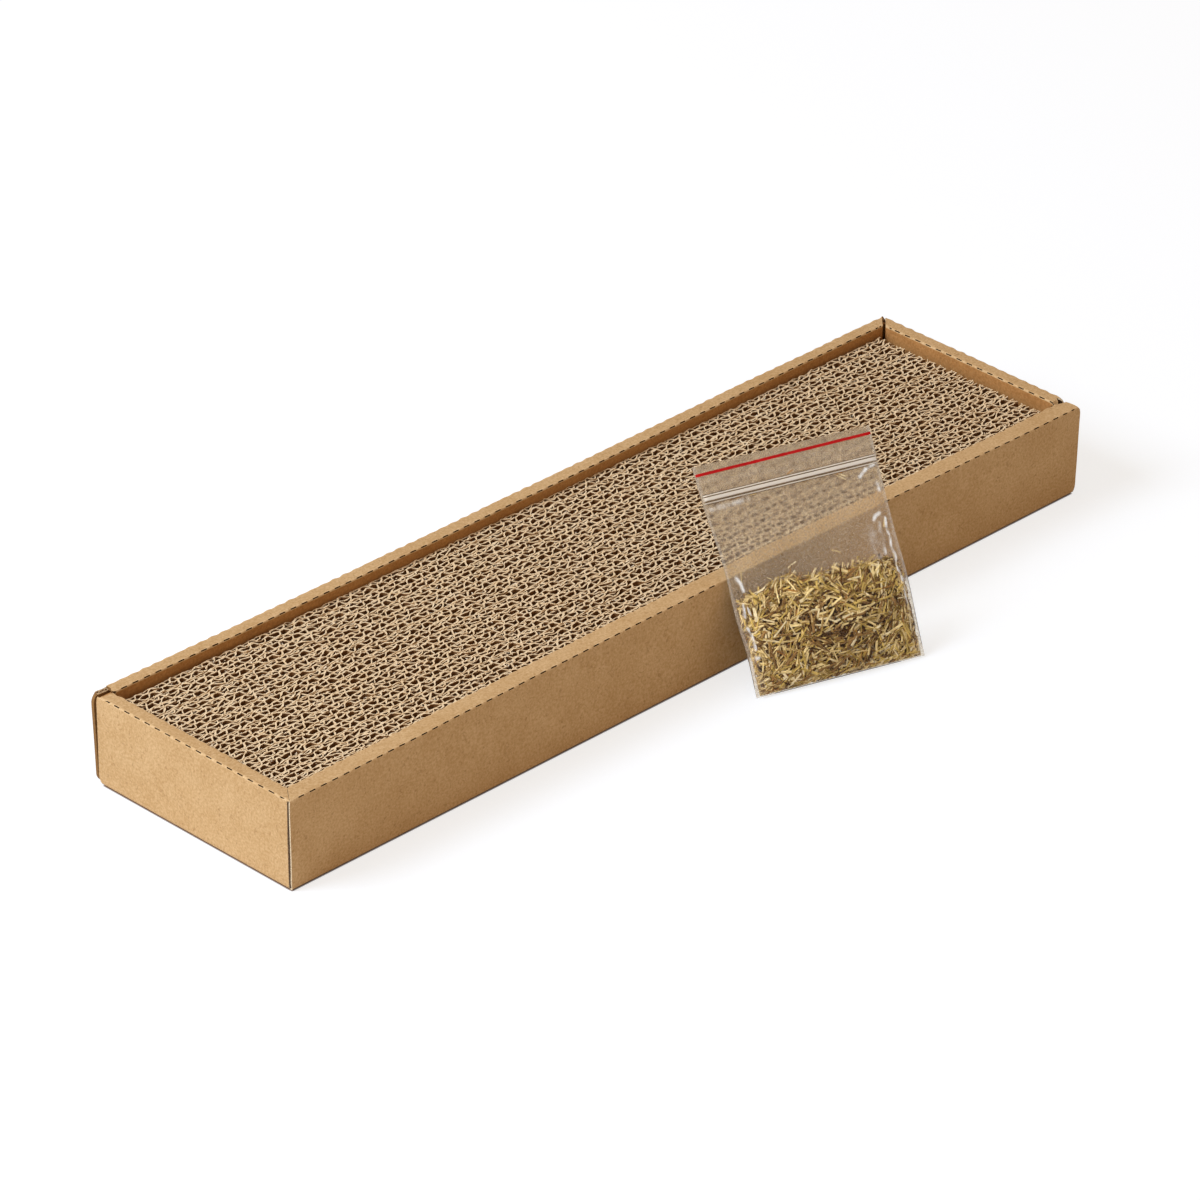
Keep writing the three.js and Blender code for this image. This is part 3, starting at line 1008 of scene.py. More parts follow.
@dataclass
class FoldedWall:
    """One wall of the tray: the outer panel, the rim and the inner panel, folded from the same board.

    A station across the wall is a place on the way from the foot of the outer panel, up, over the rim and
    down to the foot of the inner panel. Both folds of the rim are perforated by short cuts, which stay
    shut in the stretch that the bag presses on. The heights list the stations on the two panels.
    """

    side: Side
    ends: tuple[WallEnd, WallEnd]
    rim_width: float
    tab_centres: tuple[float, ...]
    tab_width: float
    bow: float = 0.0
    outer_shift: tuple[tuple[float, float], ...] = ()
    inner_shift: tuple[tuple[float, float], ...] = ()
    end_finish: WallFinish = WallFinish.CUT_END
    pressed: tuple[float, float] = (0.0, 0.0)
    seed: int = 1
    height: float = TRAY_HEIGHT
    board: float = 1.5
    fold_radius: float = 0.8
    foot_radius: float = 1.3
    inner_radius: float = 0.1
    foot_lip: float = 1.8
    fold_steps: tuple[float, ...] = (0, 26, 45, 64, 90)
    outer_heights: tuple[float, ...] = (
        2.1, 3.0, 4.0, 5.5, 8.0, 13.0, 18.0, 23.0, 28.0, 33.0, 36.5, 38.7, 39.8, 40.6, 41.3, 41.9)
    inner_heights: tuple[float, ...] = (41.4, 40.0, 38.0, 34.0, 26.0, 16.0, 7.0, 1.8, 0.3)
    # Height up the outer panel of the painted shade at the foot.
    scuff: float = 0.8
    cut_length: float = 3.2
    cut_pitch: float = 6.35
    uncut_end: float = 3.0
    pressed_blend: float = 6.0
    swell_reach: float = 1.5
    swell_in: float = 0.17
    swell_up: float = 0.12
    corner_reach: float = 4.4
    corner_share: float = 0.85
    foot_cut: float = 4.2
    torn_length: float = 3.1
    torn_rim_length: float = 4.2
    torn_reach: float = 1.1
    end_blend: float = 11.0
    roughness: float = 0.12
    rough_length: float = 55.0
    half_length: float = TRAY_HALF_LENGTH

    def stations_along(self) -> Vec:
        """Give the stations along the wall.

        Returns:
            Places in order, with the ends of every cut, tab and inner panel among them.
        """
        low, high = self.ends[0].panel, self.ends[1].panel
        in_cut = np.array([0, 0.34, 0.67, 1.0]) * self.cut_length
        in_bridge = self.cut_length + (self.cut_pitch - self.cut_length) * np.array([0.25, 0.5, 0.75])
        first = math.floor(low / self.cut_pitch) - 1
        last = math.ceil(high / self.cut_pitch) + 1
        places = (np.arange(first, last)[:, None] * self.cut_pitch + np.r_[in_cut, in_bridge]).ravel()
        fixed = [end.inner for end in self.ends if end.kind is not EndKind.MITRE]
        for centre in self.tab_centres:
            fixed += [centre - self.tab_width / 2, centre + self.tab_width / 2]
        near_fixed = np.abs(places[:, None] - np.array(fixed)[None, :]).min(axis=1) < 0.4
        places = np.sort(np.r_[places[~near_fixed], fixed])
        inside = places[(places > low + 0.3) & (places < high - 0.3)]
        return np.r_[low, inside[np.r_[True, np.diff(inside) > 0.05]], high]

    def way_across(self) -> tuple[Vec, Vec]:
        """Give the way over the wall, from the foot outside over the rim to the foot inside.

        Returns:
            Outer points and inner points, as distance inward and height.
        """
        w, h, t = self.rim_width, self.height, self.board
        r, f, s = self.fold_radius, self.foot_radius, self.inner_radius
        quarter = np.radians(self.fold_steps)
        low, high = t + 2 * s, h - t - 1.5 * s
        outer: list[tuple[float, float]] = [(self.foot_lip, 0.0)]
        inner: list[tuple[float, float]] = [(self.foot_lip, t)]
        for angle in quarter:
            outer.append((f - f * math.sin(angle), f - f * math.cos(angle)))
            inner.append((t + s - s * math.sin(angle), t + s - s * math.cos(angle)))
        for z in self.outer_heights:
            outer.append((0.0, z))
            inner.append((t, float(np.clip(z, low, high))))
        for angle in quarter:
            outer.append((r - r * math.cos(angle), h - r + r * math.sin(angle)))
            inner.append((t + s - s * math.cos(angle), h - t - s + s * math.sin(angle)))
        for place in (r + 0.5, r + 1.1, r + 1.9, *np.linspace(r + 2.6, w - r - 0.6, 4)):
            share = (place - r) / (w - 2 * r)
            outer.append((float(place), h))
            inner.append((t + s + (w - 2 * t - 2 * s) * share, h - t))
        for angle in quarter:
            outer.append((w - r + r * math.sin(angle), h - r + r * math.cos(angle)))
            inner.append((w - t - s + s * math.sin(angle), h - t - s + s * math.cos(angle)))
        for z in self.inner_heights:
            outer.append((w, z))
            inner.append((w - t, min(z, high)))
        return np.array(outer), np.array(inner)

    def end_places(self, end: WallEnd, inwards: float, way: Vec) -> Vec:
        """Give where the wall ends at every station across.

        Args:
            end: The end.
            inwards: Direction along the wall that leads away from this end, 1 or -1.
            way: Outer points of the way across, as distance inward and height.

        Returns:
            Places along the wall.
        """
        inward, height = way[:, 0], way[:, 1]
        share = np.clip(inward / self.rim_width, 0, 1)
        length = distances_along(way)
        fold = length[np.argmin(np.hypot(inward, self.height - height))]
        on_panel = length < fold - 0.05
        place = np.where(on_panel, end.panel, end.rim[0] + (end.rim[1] - end.rim[0]) * share)
        near = np.clip(self.corner_share - np.abs(length - fold) / self.corner_reach, 0, 1)
        rounded = end.corner * (1 - np.sqrt(1 - near ** 2))
        foot = end.chamfer * np.clip(1 - height / self.foot_cut, 0, 1) ** 2
        hollow = end.hollow * np.sin(np.pi * height / self.height)
        torn = end.ragged * (1 + wander(length, self.torn_length, self.seed + 60))
        if end.kind is EndKind.STOP:
            torn = 0 * length
        slant = end.slant * (1 - height / self.height)
        cut = np.where(on_panel, rounded + foot + hollow + slant, torn)
        return place + inwards * cut

    def lean(self, along: Vec, inward: Vec, height: Vec) -> Vec:
        """Give how far inward the wall leans, with the small unevenness of real board.

        Args:
            along: Places along the wall.
            inward: Distances in from the outer face.
            height: Heights above the floor.

        Returns:
            Distances in millimetres, added to those inward.
        """
        share = np.clip(np.abs(along) / self.half_length, 0, 1)
        bowed = self.bow * (1 - share ** 2) ** 2 * height / self.height
        top = (height / self.height) ** 1.4
        across = np.clip(inward / self.rim_width, 0, 1)
        for shifts, part in ((self.outer_shift, 1 - across), (self.inner_shift, across)):
            if shifts:
                places, values = zip(*shifts)
                bowed = bowed - np.interp(along, places, values) * top * part
        rough = self.roughness * wander_over(along, height + inward, self.rough_length, self.seed)
        return bowed + rough * np.clip(height / 10, 0, 1)

    def fold_swell(self, along: Vec, way: Vec) -> tuple[Vec, Vec]:
        """Give how far the bridges between the cuts stand out at both folds.

        Args:
            along: Places along the wall.
            way: Outer points of the way across.

        Returns:
            Shift inward and shift in height.
        """
        phase = np.cos(2 * np.pi * (along - self.cut_length / 2) / self.cut_pitch)
        uneven = 0.75 + 0.4 * wander(along, 23, self.seed + 5)
        low, high = self.pressed
        blend = self.pressed_blend
        shut = np.clip((along - low) / blend, 0, 1) * np.clip((high - along) / blend, 0, 1)
        swell = -phase * uneven * (1 - shut)
        inward, height = way[None, :, 0], way[None, :, 1]
        at_outer = hump(np.hypot(inward, self.height - height), 0, self.swell_reach)
        at_inner = hump(np.hypot(self.rim_width - inward, self.height - height), 0, self.swell_reach)
        shift_in = swell * (self.swell_in * at_inner - self.swell_in * at_outer)
        shift_up = swell * self.swell_up * (at_outer + at_inner)
        return shift_in, shift_up

    def warped(self, along: Vec, way: Vec) -> Vec:
        """Give the place along the wall of every grid point, drawn to the ends of the wall.

        Args:
            along: Stations along.
            way: Outer points of the way across.

        Returns:
            Places by station along and station across.
        """
        grid = np.repeat(along[:, None], len(way), axis=1)
        length = distances_along(way)
        shifts = []
        for end, inwards in zip(self.ends, (1.0, -1.0)):
            near = np.clip(1 - np.abs(grid - end.panel) / self.end_blend, 0, 1)
            shifts.append(near * (self.end_places(end, inwards, way) - end.panel)[None, :])
            if end.kind is EndKind.STOP and end.ragged:
                torn = end.ragged * wander(length, self.torn_rim_length, self.seed + 61)
                shifts.append(hump(grid, end.inner, self.torn_reach) * torn[None, :])
        return grid + sum(shifts)

    def build(self, finishes: FinishSet) -> Object:
        """Make the wall and let it stand for its three CAD panels.

        Args:
            finishes: Where its finishes come from.

        Returns:
            The wall.
        """
        along = self.stations_along()
        outer_way, inner_way = self.way_across()
        grid = self.warped(along, outer_way)
        shift_in, shift_up = self.fold_swell(grid, outer_way)
        for end, outwards in zip(self.ends, (-1.0, 1.0)):
            past = np.clip((grid - end.inner) * outwards / end.sunk_over, 0, 1)
            part = outer_way[:, 1] / self.height
            if end.kind is EndKind.LAP:
                part = outer_way[:, 0] / self.rim_width
            shift_up = shift_up - past * end.sunk * part[None, :] ** 2
        sides = []
        for way in (outer_way, inner_way):
            inward = np.repeat(way[None, :, 0], len(along), axis=0)
            height = np.repeat(way[None, :, 1], len(along), axis=0)
            inward = inward + self.lean(grid, inward, height) + shift_in
            sides.append(self.side.place(grid, inward, height + shift_up))
        middle = (along[:-1] + along[1:]) / 2
        skin, pockets = self.skin_and_pockets(middle, outer_way)
        shape = Shape()
        # Inside the perforation cuts the board is drawn in painted shade.
        shape.add_sheet(sides[0], sides[1], (skin[None, :], WallFinish.INSIDE),
                        (self.end_finish, WallFinish.CUT_SIDE), self.kept_cells(middle, outer_way),
                        pockets, WallFinish.SCUFFED)
        name = self.side.name.lower()
        piece = shape.build(f"{name}_wall", finishes.of_wall())
        place_piece(piece, "tray", "tray_board", f"{name}_outer_wall", f"{name}_rim", f"{name}_inner_wall")
        return piece

    def skin_and_pockets(self, middle: Vec, way: Vec) -> tuple[Vec, Vec]:
        """Give the finish of the outer side, and say which cells the perforation cuts into.

        Args:
            middle: Middle of each cell along.
            way: Outer points of the way across.

        Returns:
            Finish for each cell across, and one value for each cell along and cell across.
        """
        on_cut, on_fold, turned_in = self.zones(way)
        # The lowest cells of the outer panel take painted shade, a dark line where the wall meets the floor.
        scuffed = ((way[:-1, 1] + way[1:, 1]) / 2 < self.scuff) & (way[1:, 0] < self.foot_lip + 0.2)
        # The folds get crease whitening with a painted highlight; the inner panels and the foot get painted
        # shade.
        skin = np.select([on_fold, turned_in, scuffed],
                         [WallFinish.FOLD, WallFinish.TURNED_IN, WallFinish.SCUFFED], WallFinish.LINER)
        in_cut = np.mod(middle, self.cut_pitch) < self.cut_length
        in_cut &= middle > self.ends[0].panel + self.uncut_end
        in_cut &= middle < self.ends[1].panel - self.uncut_end
        open_cut = in_cut & ((middle < self.pressed[0]) | (middle > self.pressed[1]))
        outer_cut = on_cut & (way[:-1, 0] < self.rim_width / 2)
        return skin, in_cut[:, None] & on_cut[None, :] & (open_cut[:, None] | ~outer_cut[None, :])

    def zones(self, way: Vec) -> tuple[Vec, Vec, Vec]:
        """Say where each cell across lies.

        Args:
            way: Outer points of the way across.

        Returns:
            Whether it is on the cut line of a fold, on a fold, and beyond the inner fold.
        """
        middle = (way[:-1] + way[1:]) / 2
        r, h, w = self.fold_radius, self.height, self.rim_width
        at_top = middle[:, 1] > h - r
        on_fold = at_top & ((middle[:, 0] < r) | (middle[:, 0] > w - r))
        steep = np.abs(way[1:] - way[:-1])
        on_cut = on_fold & (steep.min(axis=1) > 0.4 * steep.max(axis=1))
        return on_cut, on_fold, ~at_top & (middle[:, 0] > w / 2)

    def kept_cells(self, middle: Vec, way: Vec) -> Vec:
        """Say which cells of the wall are board: not the corners left open, or the gaps beside the tabs.

        Args:
            middle: Middle of each cell along.
            way: Outer points of the way across.

        Returns:
            One value for each cell along and cell across.
        """
        heights = (way[:-1, 1] + way[1:, 1]) / 2
        inward = (way[:-1, 0] + way[1:, 0]) / 2
        past_outer_fold = (heights > self.height - self.fold_radius) | (inward > self.foot_lip + 0.2)
        past_rim = inward > self.rim_width - self.fold_radius * 0.9
        kept = np.ones((len(middle), len(inward)), dtype=bool)
        for end, outwards in zip(self.ends, (-1.0, 1.0)):
            beyond = (middle - end.inner) * outwards > 0
            if end.kind is not EndKind.MITRE:
                stopped = past_rim if end.kind is EndKind.LAP else past_outer_fold
                kept &= ~(beyond[:, None] & stopped[None, :])
        tab = np.zeros(len(middle), dtype=bool)
        for centre in self.tab_centres:
            tab |= np.abs(middle - centre) < self.tab_width / 2
        foot = past_rim & (heights < self.board + 0.3)
        return kept & ~(~tab[:, None] & foot[None, :])


@dataclass
class Tray:
    """The folded tray: four double walls, the floor and the four corner flaps inside the long walls."""

    finishes: FinishSet
    long_tabs: tuple[float, float] = (-110.0, 110.0)
    long_tab_width: float = 36.0
    end_tab: float = 1.6
    end_tab_width: float = 30.0
    plain_panels: tuple[str, ...] = (
        "tray_floor", "front_left_flap", "front_right_flap", "back_left_flap", "back_right_flap")

    def walls(self) -> list[FoldedWall]:
        """List the four walls with their own ends.

        The rims meet in mitres at the front left and back right. At the front right the front rim laps
        over, and at the back left the end rim does.

        Returns:
            The front, back, left and right wall.
        """
        mitre, lap, stop = EndKind.MITRE, EndKind.LAP, EndKind.STOP
        front = FoldedWall(
            Side.FRONT,
            (WallEnd(mitre, -240.0, (-239.85, -232.85), -232.85),
             WallEnd(lap, 240.0, (238.5, 239.8), 233.5, corner=3.2, chamfer=1.6, slant=2.2, sunk=1.3,
                     sunk_over=6.0)),
            9.4, self.long_tabs, self.long_tab_width, bow=FRONT_BOW, pressed=(13.0, 114.0), seed=11)
        back = FoldedWall(
            Side.BACK,
            (WallEnd(stop, -240.0, (-238.6, -240.0), -232.2, corner=7.6, chamfer=2.4, ragged=0.4),
             WallEnd(mitre, 240.0, (239.1, 232.8), 232.8)),
            6.2, self.long_tabs, self.long_tab_width, bow=0.7, end_finish=WallFinish.INSIDE,
            corner_reach=6.0, seed=23,
            outer_shift=((-240, 1.7), (-225, 1.5), (-150, 0.9), (0, 0.9), (140, 1.1), (195, 0.6), (240, 0.4)),
            inner_shift=((-240, 1.3), (-225, 1.2), (-150, 0.4), (0, 0), (140, 0.2), (180, 0.6), (240, 0.1)))
        left = FoldedWall(
            Side.LEFT,
            (WallEnd(mitre, -58.95, (-60.4, -51.05), -51.05, corner=0.3, chamfer=0.3, hollow=0.4),
             WallEnd(lap, 58.8, (56.7, 55.6), 54.1, corner=1.6, chamfer=2.2, ragged=0.3)),
            7.0, (self.end_tab,), self.end_tab_width, seed=37)
        right = FoldedWall(
            Side.RIGHT,
            (WallEnd(stop, -58.8, (-58.8, -58.8), -49.8, corner=0.0, ragged=1.1, sunk=3.2, slant=2.2),
             WallEnd(mitre, 58.8, (59.3, 53.3), 53.3, corner=0.4)),
            6.5, (self.end_tab,), self.end_tab_width, seed=41)
        return [front, back, left, right]

    def build(self) -> None:
        """Build the walls and give the hidden CAD panels their board."""
        for wall in self.walls():
            wall.build(self.finishes)
        for name in self.plain_panels:
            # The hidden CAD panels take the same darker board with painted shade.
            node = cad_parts[name]
            for slot in node.material_slots:
                slot.material = self.finishes.turned
            LOG.info("%s: the CAD panel stays, in kraft board", name)


# Scratching pad


@dataclass
class ScratchPad:
    """Sixteen strips of double-wall board on edge: three liners and two flutings each, open at the top.

    Their flutes stand upright, so the top shows rows of cells, which the saw has frayed and pushed about.
    The depths are the stations down a sheet of paper, below its top edge. A waver moves that edge up and
    down smoothly and a jitter at random, and a push moves it aside.
    """

    finishes: FinishSet
    left: float = -232.4
    right: float = 230.0
    front: float = -48.5
    back: float = 53.4
    foot: float = 1.8
    height: float = 36.9
    count: int = 16
    glue_gap: float = 0.06
    side_liner: float = 0.26
    middle_liner: float = 0.28
    paper: float = 0.29
    tall_flute: float = 3.25
    tall_pitch: float = 8.3
    short_pitch: float = 6.45
    unevenness: float = 0.5
    unevenness_cycle: int = 5
    depths: tuple[float, ...] = (0.0, 0.28, 0.9, 3.0, 7.5)
    fray: float = 0.17
    fray_width: float = 3.7
    fray_depth: float = 0.4
    push_depth: float = 2.2
    side_push: float = 0.22
    middle_push: float = 0.32
    liner_step: float = 1.5
    liner_drop: float = 0.32
    liner_wander: float = 0.12
    liner_waver: float = 0.3
    liner_jitter: float = 0.15
    flute_drop: float = 0.05
    flute_waver: float = 0.24
    flute_jitter: float = 0.1
    flute_gap: float = 0.03
    flute_end: float = 0.4
    flute_flatness: float = 2.9
    flute_push_along: float = 0.6
    flute_push_across: float = 0.26
    flute_most_across: float = 0.6
    tall_steps: int = 12
    short_steps: int = 10
    first_seed: int = 1000
    scraps: int = 170
    scrap_thickness: float = 0.14

    def add_paper(self, shape: Shape, x: Vec, y: Vec, half: float, top: Vec, push: tuple[Vec, Vec],
                  bounds: tuple[float, float], seed: int) -> None:
        """Add one sheet of paper on edge, frayed along its top.

        Args:
            shape: Piece that the sheet belongs to.
            x: Places along the sheet's middle.
            y: Places across, in the same order.
            half: Half the thickness of the paper.
            top: Height of the top edge at each place.
            push: How far the saw pushed the top edge along and across, at each place.
            bounds: Lowest and highest place across that the sheet may take.
            seed: Number that picks how it frays.
        """
        slope = np.stack([np.gradient(x), np.gradient(y)], axis=1)
        slope /= np.linalg.norm(slope, axis=1)[:, None]
        heights = np.stack([*[top - depth for depth in self.depths], np.full_like(top, self.foot)], axis=1)
        depth = np.clip(top[:, None] - heights, 0, None)
        fade = np.exp(-depth / self.push_depth)
        frayed = self.fray * (1 + wander(x, self.fray_width, seed))[:, None] * hump(depth, 0, self.fray_depth)
        sides = []
        for way in (1, -1):
            out = (half + np.clip(frayed, 0, None)) * way
            side_x = np.clip(x[:, None] + push[0][:, None] * fade - slope[:, 1:] * out, self.left, self.right)
            side_y = np.clip(y[:, None] + push[1][:, None] * fade + slope[:, :1] * out, *bounds)
            sides.append(np.stack([side_x, side_y, heights], axis=-1))
        # Below the top band the sheet is darkened as painted shade in the cells.
        skin = np.full((1, heights.shape[1] - 1), StripFinish.FLUTING)
        # The top band and the cut edges are pale cut fibre with painted light.
        skin[:, 0] = StripFinish.FIBRE
        shape.add_sheet(sides[0], sides[1], (skin, skin), (StripFinish.FIBRE, StripFinish.FIBRE))

    def flute_wave(self, x: Vec, pitch: float, seed: int) -> Vec:
        """Give the wave of a flute, which leans over and is flat where it is glued.

        Args:
            x: Places along the strip.
            pitch: Length of one wave.
            seed: Number that picks how the wave wavers.

        Returns:
            Values from -1 to 1.
        """
        draw = np.random.default_rng(seed)
        turn = 2 * np.pi * (x / pitch + draw.uniform()) + 0.5 * wander(x, 70, seed + 1)
        skew = 0.5 * wander(x, 38, seed + 2) + draw.choice([-0.35, 0.35])
        leaned = np.sin(turn + skew * np.sin(turn))
        return np.tanh(self.flute_flatness * leaned) / math.tanh(self.flute_flatness)

    def add_scraps(self, shape: Shape, lines: list[float], top: float, seed: int) -> None:
        """Add the small torn scraps of paper that the saw left hanging on the top edges.

        Args:
            shape: Piece that they belong to.
            lines: Places across of the strip's liners.
            top: Height of the strip.
            seed: Number that picks the scraps.
        """
        draw = np.random.default_rng(seed)
        count = self.scraps
        middle = np.stack([draw.uniform(self.left + 3, self.right - 3, count),
                           draw.choice(lines, count) + draw.normal(0, 0.5, count),
                           top - draw.uniform(0.05, 0.6, count)], axis=1)
        middle[:, 1] = np.clip(middle[:, 1], lines[0] + 0.5, lines[-1] - 0.5)
        turn = draw.uniform(0, 2 * np.pi, count)
        tilt = draw.normal(0, 0.35, count)
        length = draw.uniform(0.5, 1.9, count)
        ahead = np.stack([np.cos(turn) * np.cos(tilt), np.sin(turn) * np.cos(tilt), np.sin(tilt)], axis=1)
        side = np.stack([-np.sin(turn), np.cos(turn), np.zeros(count)], axis=1)
        upright = np.cross(ahead, side)
        along = np.array([-0.5, 0.0, 0.5])
        curl = draw.normal(0, 0.25, count)
        spine = middle[:, None] + ahead[:, None] * (length[:, None] * along)[..., None]
        spine = spine + upright[:, None] * (curl[:, None] * (4 * along ** 2)[None, :])[..., None]
        width = draw.uniform(0.12, 0.4, count)[:, None, None, None]
        width = width * np.array([0.6, 1.0, 0.35])[None, :, None, None]
        angle = 2 * np.pi * (np.arange(4) + 0.5) / 4
        ring = (spine[:, :, None] + side[:, None, None] * np.cos(angle)[None, None, :, None] * width
                + upright[:, None, None] * np.sin(angle)[None, None, :, None] * self.scrap_thickness / 2)
        ring[..., 1] = np.clip(ring[..., 1], lines[0] - 0.05, lines[-1] + 0.05)
        finishes = [StripFinish.FIBRE, StripFinish.SCRAP]
        shape.add_rods(ring, draw.choice(finishes, count, p=[0.35, 0.65]))

    def strip(self, number: int) -> Object:
        """Make one strip and let it stand for its CAD solid.

        Args:
            number: Number of the strip, from 0 at the front.

        Returns:
            The strip.
        """
        pitch = (self.back - self.front) / self.count
        start = self.front + number * pitch
        droop = self.unevenness * ((number * 2) % self.unevenness_cycle) / self.unevenness_cycle
        top_height = self.foot + self.height - droop
        width = pitch - self.glue_gap
        bounds = (start, start + width)
        short_flute = width - 2 * self.side_liner - self.middle_liner - self.tall_flute
        shape = Shape()
        seed = self.first_seed + number * 50
        liner_x = np.arange(self.left, self.right + 0.5, self.liner_step).clip(self.left, self.right - 0.01)
        liner_x[-1] = self.right
        first, last = self.side_liner / 2, width - self.side_liner / 2
        between = self.side_liner + self.tall_flute + self.middle_liner / 2
        for place, offset in enumerate((first, between, last)):
            own = seed + place * 5
            draw = np.random.default_rng(own)
            in_middle = place == 1
            push = (self.middle_push if in_middle else self.side_push) * wander(liner_x, 8, own)
            inward = (np.abs(push), push, -np.abs(push))[place]
            top = top_height - self.liner_drop + self.liner_waver * wander(liner_x, 9, own + 1)
            top = top + draw.normal(0, self.liner_jitter, len(liner_x))
            y = start + offset + (self.liner_wander if in_middle else 0) * wander(liner_x, 40, own + 2)
            half = (self.middle_liner if in_middle else self.side_liner) / 2
            self.add_paper(shape, liner_x, y, half, top, (0 * liner_x, inward), bounds, own + 3)
        flutes = ((self.side_liner, self.tall_flute, self.tall_pitch, self.tall_steps),
                  (between + self.middle_liner / 2, short_flute, self.short_pitch, self.short_steps))
        for place, (offset, room, wave, steps) in enumerate(flutes):
            own = seed + 20 + place * 10
            draw = np.random.default_rng(own)
            count = int((self.right - self.left) / wave * steps)
            flute_x = np.linspace(self.left + self.flute_end, self.right - self.flute_end, count)
            reach = room / 2 - self.paper / 2 - self.flute_gap
            y = start + offset + room / 2 + reach * self.flute_wave(flute_x, wave, own)
            top = top_height - self.flute_drop + self.flute_waver * wander(flute_x, 7, own + 3)
            top = top + draw.normal(0, self.flute_jitter, len(flute_x))
            push_x = self.flute_push_along * wander(flute_x, 9, own + 4)
            push_y = np.clip(self.flute_push_across * wander(flute_x, 5, own + 5),
                             -self.flute_most_across, self.flute_most_across)
            self.add_paper(shape, flute_x, y, self.paper / 2, top, (push_x, push_y), bounds, own + 6)
        self.add_scraps(shape, [start + first, start + between, start + last], top_height, seed + 45)
        label = f"{number + 1:02d}"
        piece = shape.build(f"board_strip_{label}", self.finishes.of_strip())
        place_piece(piece, "pad", "strip_board", f"scratch_strip_{label}")
        return piece

    def build(self) -> None:
        """Make all the strips."""
        for number in range(self.count):
            self.strip(number)


# Catnip bag


@dataclass(frozen=True)
class Crease:
    """One crease of the front film: its points across and up in millimetres, its half width and whiteness,
    which also sets its painted highlight.
    """

    points: tuple[tuple[float, float], ...]
    width: float
    white: float

    def mark(self, x: Vec, up: Vec) -> Vec:
        """Give how strongly the crease marks each place of the film.

        Args:
            x: Places across, from the middle of the film.
            up: Heights up the slope.

        Returns:
            Values from 0 to the crease's whiteness.
        """
        nearest = np.full(np.broadcast(x, up).shape, np.inf)
        for start, end in zip(self.points[:-1], self.points[1:]):
            run = np.array(end) - np.array(start)
            off_x, off_up = x - start[0], up - start[1]
            share = np.clip((off_x * run[0] + off_up * run[1]) / (run @ run), 0, 1)
            nearest = np.minimum(nearest, np.hypot(off_x - share * run[0], off_up - share * run[1]))
        return self.white * hump(nearest, 0, self.width)


def film_creases() -> list[Crease]:
    """List the creases that show white, with a painted highlight, on the front film, from the seal down to
    the foot.

    Returns:
        The creases.
    """
    return [
        Crease(((-40, 83.4), (-31, 83.4), (-22, 84.2)), 0.9, 0.26),
        Crease(((32.4, 81.8), (36.0, 84.4), (40.9, 86.0)), 0.6, 0.7),
        Crease(((40.2, 77.8), (40.2, 77.0)), 0.7, 0.7),
        Crease(((40.1, 75.0), (40.1, 74.2)), 0.6, 0.6),
        Crease(((34.0, 62.4), (35.4, 63.8), (37.4, 64.6)), 0.7, 0.6),
        Crease(((36.5, 61.0), (35.6, 57.0), (36.2, 52.0), (35.2, 47.0)), 0.6, 0.35),
        Crease(((31.0, 58.0), (32.0, 47.0)), 2.0, 0.12),
        Crease(((39.8, 62.0), (39.0, 57.5), (39.9, 54.0), (38.8, 49.0), (39.6, 44.5), (38.6, 41.0),
                (39.4, 33.0), (39.0, 24.0)), 0.42, 0.9),
        Crease(((-38.6, 52.0), (-37.2, 49.5), (-36.6, 46.0)), 0.6, 0.8),
        Crease(((-39.0, 35.0), (-38.2, 40.6), (-37.0, 40.2), (-36.4, 35.0)), 0.5, 0.85),
        Crease(((-39.4, 30.0), (-38.6, 26.0), (-38.9, 20.2)), 0.45, 0.8),
        Crease(((-39.2, 16.6), (-37.4, 16.4)), 0.8, 0.9),
    ]


@dataclass(frozen=True)
class Stray:
    """One stalk outside the heap: its place across and up, direction in radians, length, width and finish."""

    x: float
    up: float
    angle: float
    length: float
    width: float
    finish: CatnipFinish


def stray_stalks() -> list[Stray]:
    """List the single stalks in the seal, on the lip and on the clear film.

    Returns:
        The stalks.
    """
    straw, rust, pale = CatnipFinish.STRAW, CatnipFinish.RUST, CatnipFinish.PALE
    return [
        Stray(-27.0, 85.4, 0.05, 6.0, 0.6, rust),
        Stray(-18.5, 85.4, -0.05, 3.0, 0.8, straw),
        Stray(6.5, 85.5, 0.1, 3.0, 0.7, straw),
        Stray(24.5, 85.6, 0.1, 6.0, 0.6, rust),
        Stray(0.7, 91.0, 0.45, 3.4, 0.7, rust),
        Stray(23.8, 84.9, -0.65, 5.5, 0.8, pale),
        Stray(23.7, 83.5, -0.65, 4.5, 0.7, pale),
        Stray(38.0, 60.0, 1.2, 4.0, 0.6, straw),
        Stray(-35.0, 52.0, 1.4, 5.0, 0.7, pale),
        Stray(12.0, 53.0, -0.5, 4.5, 0.6, straw),
        Stray(-10.0, 52.0, 0.4, 5.0, 0.7, pale),
    ]


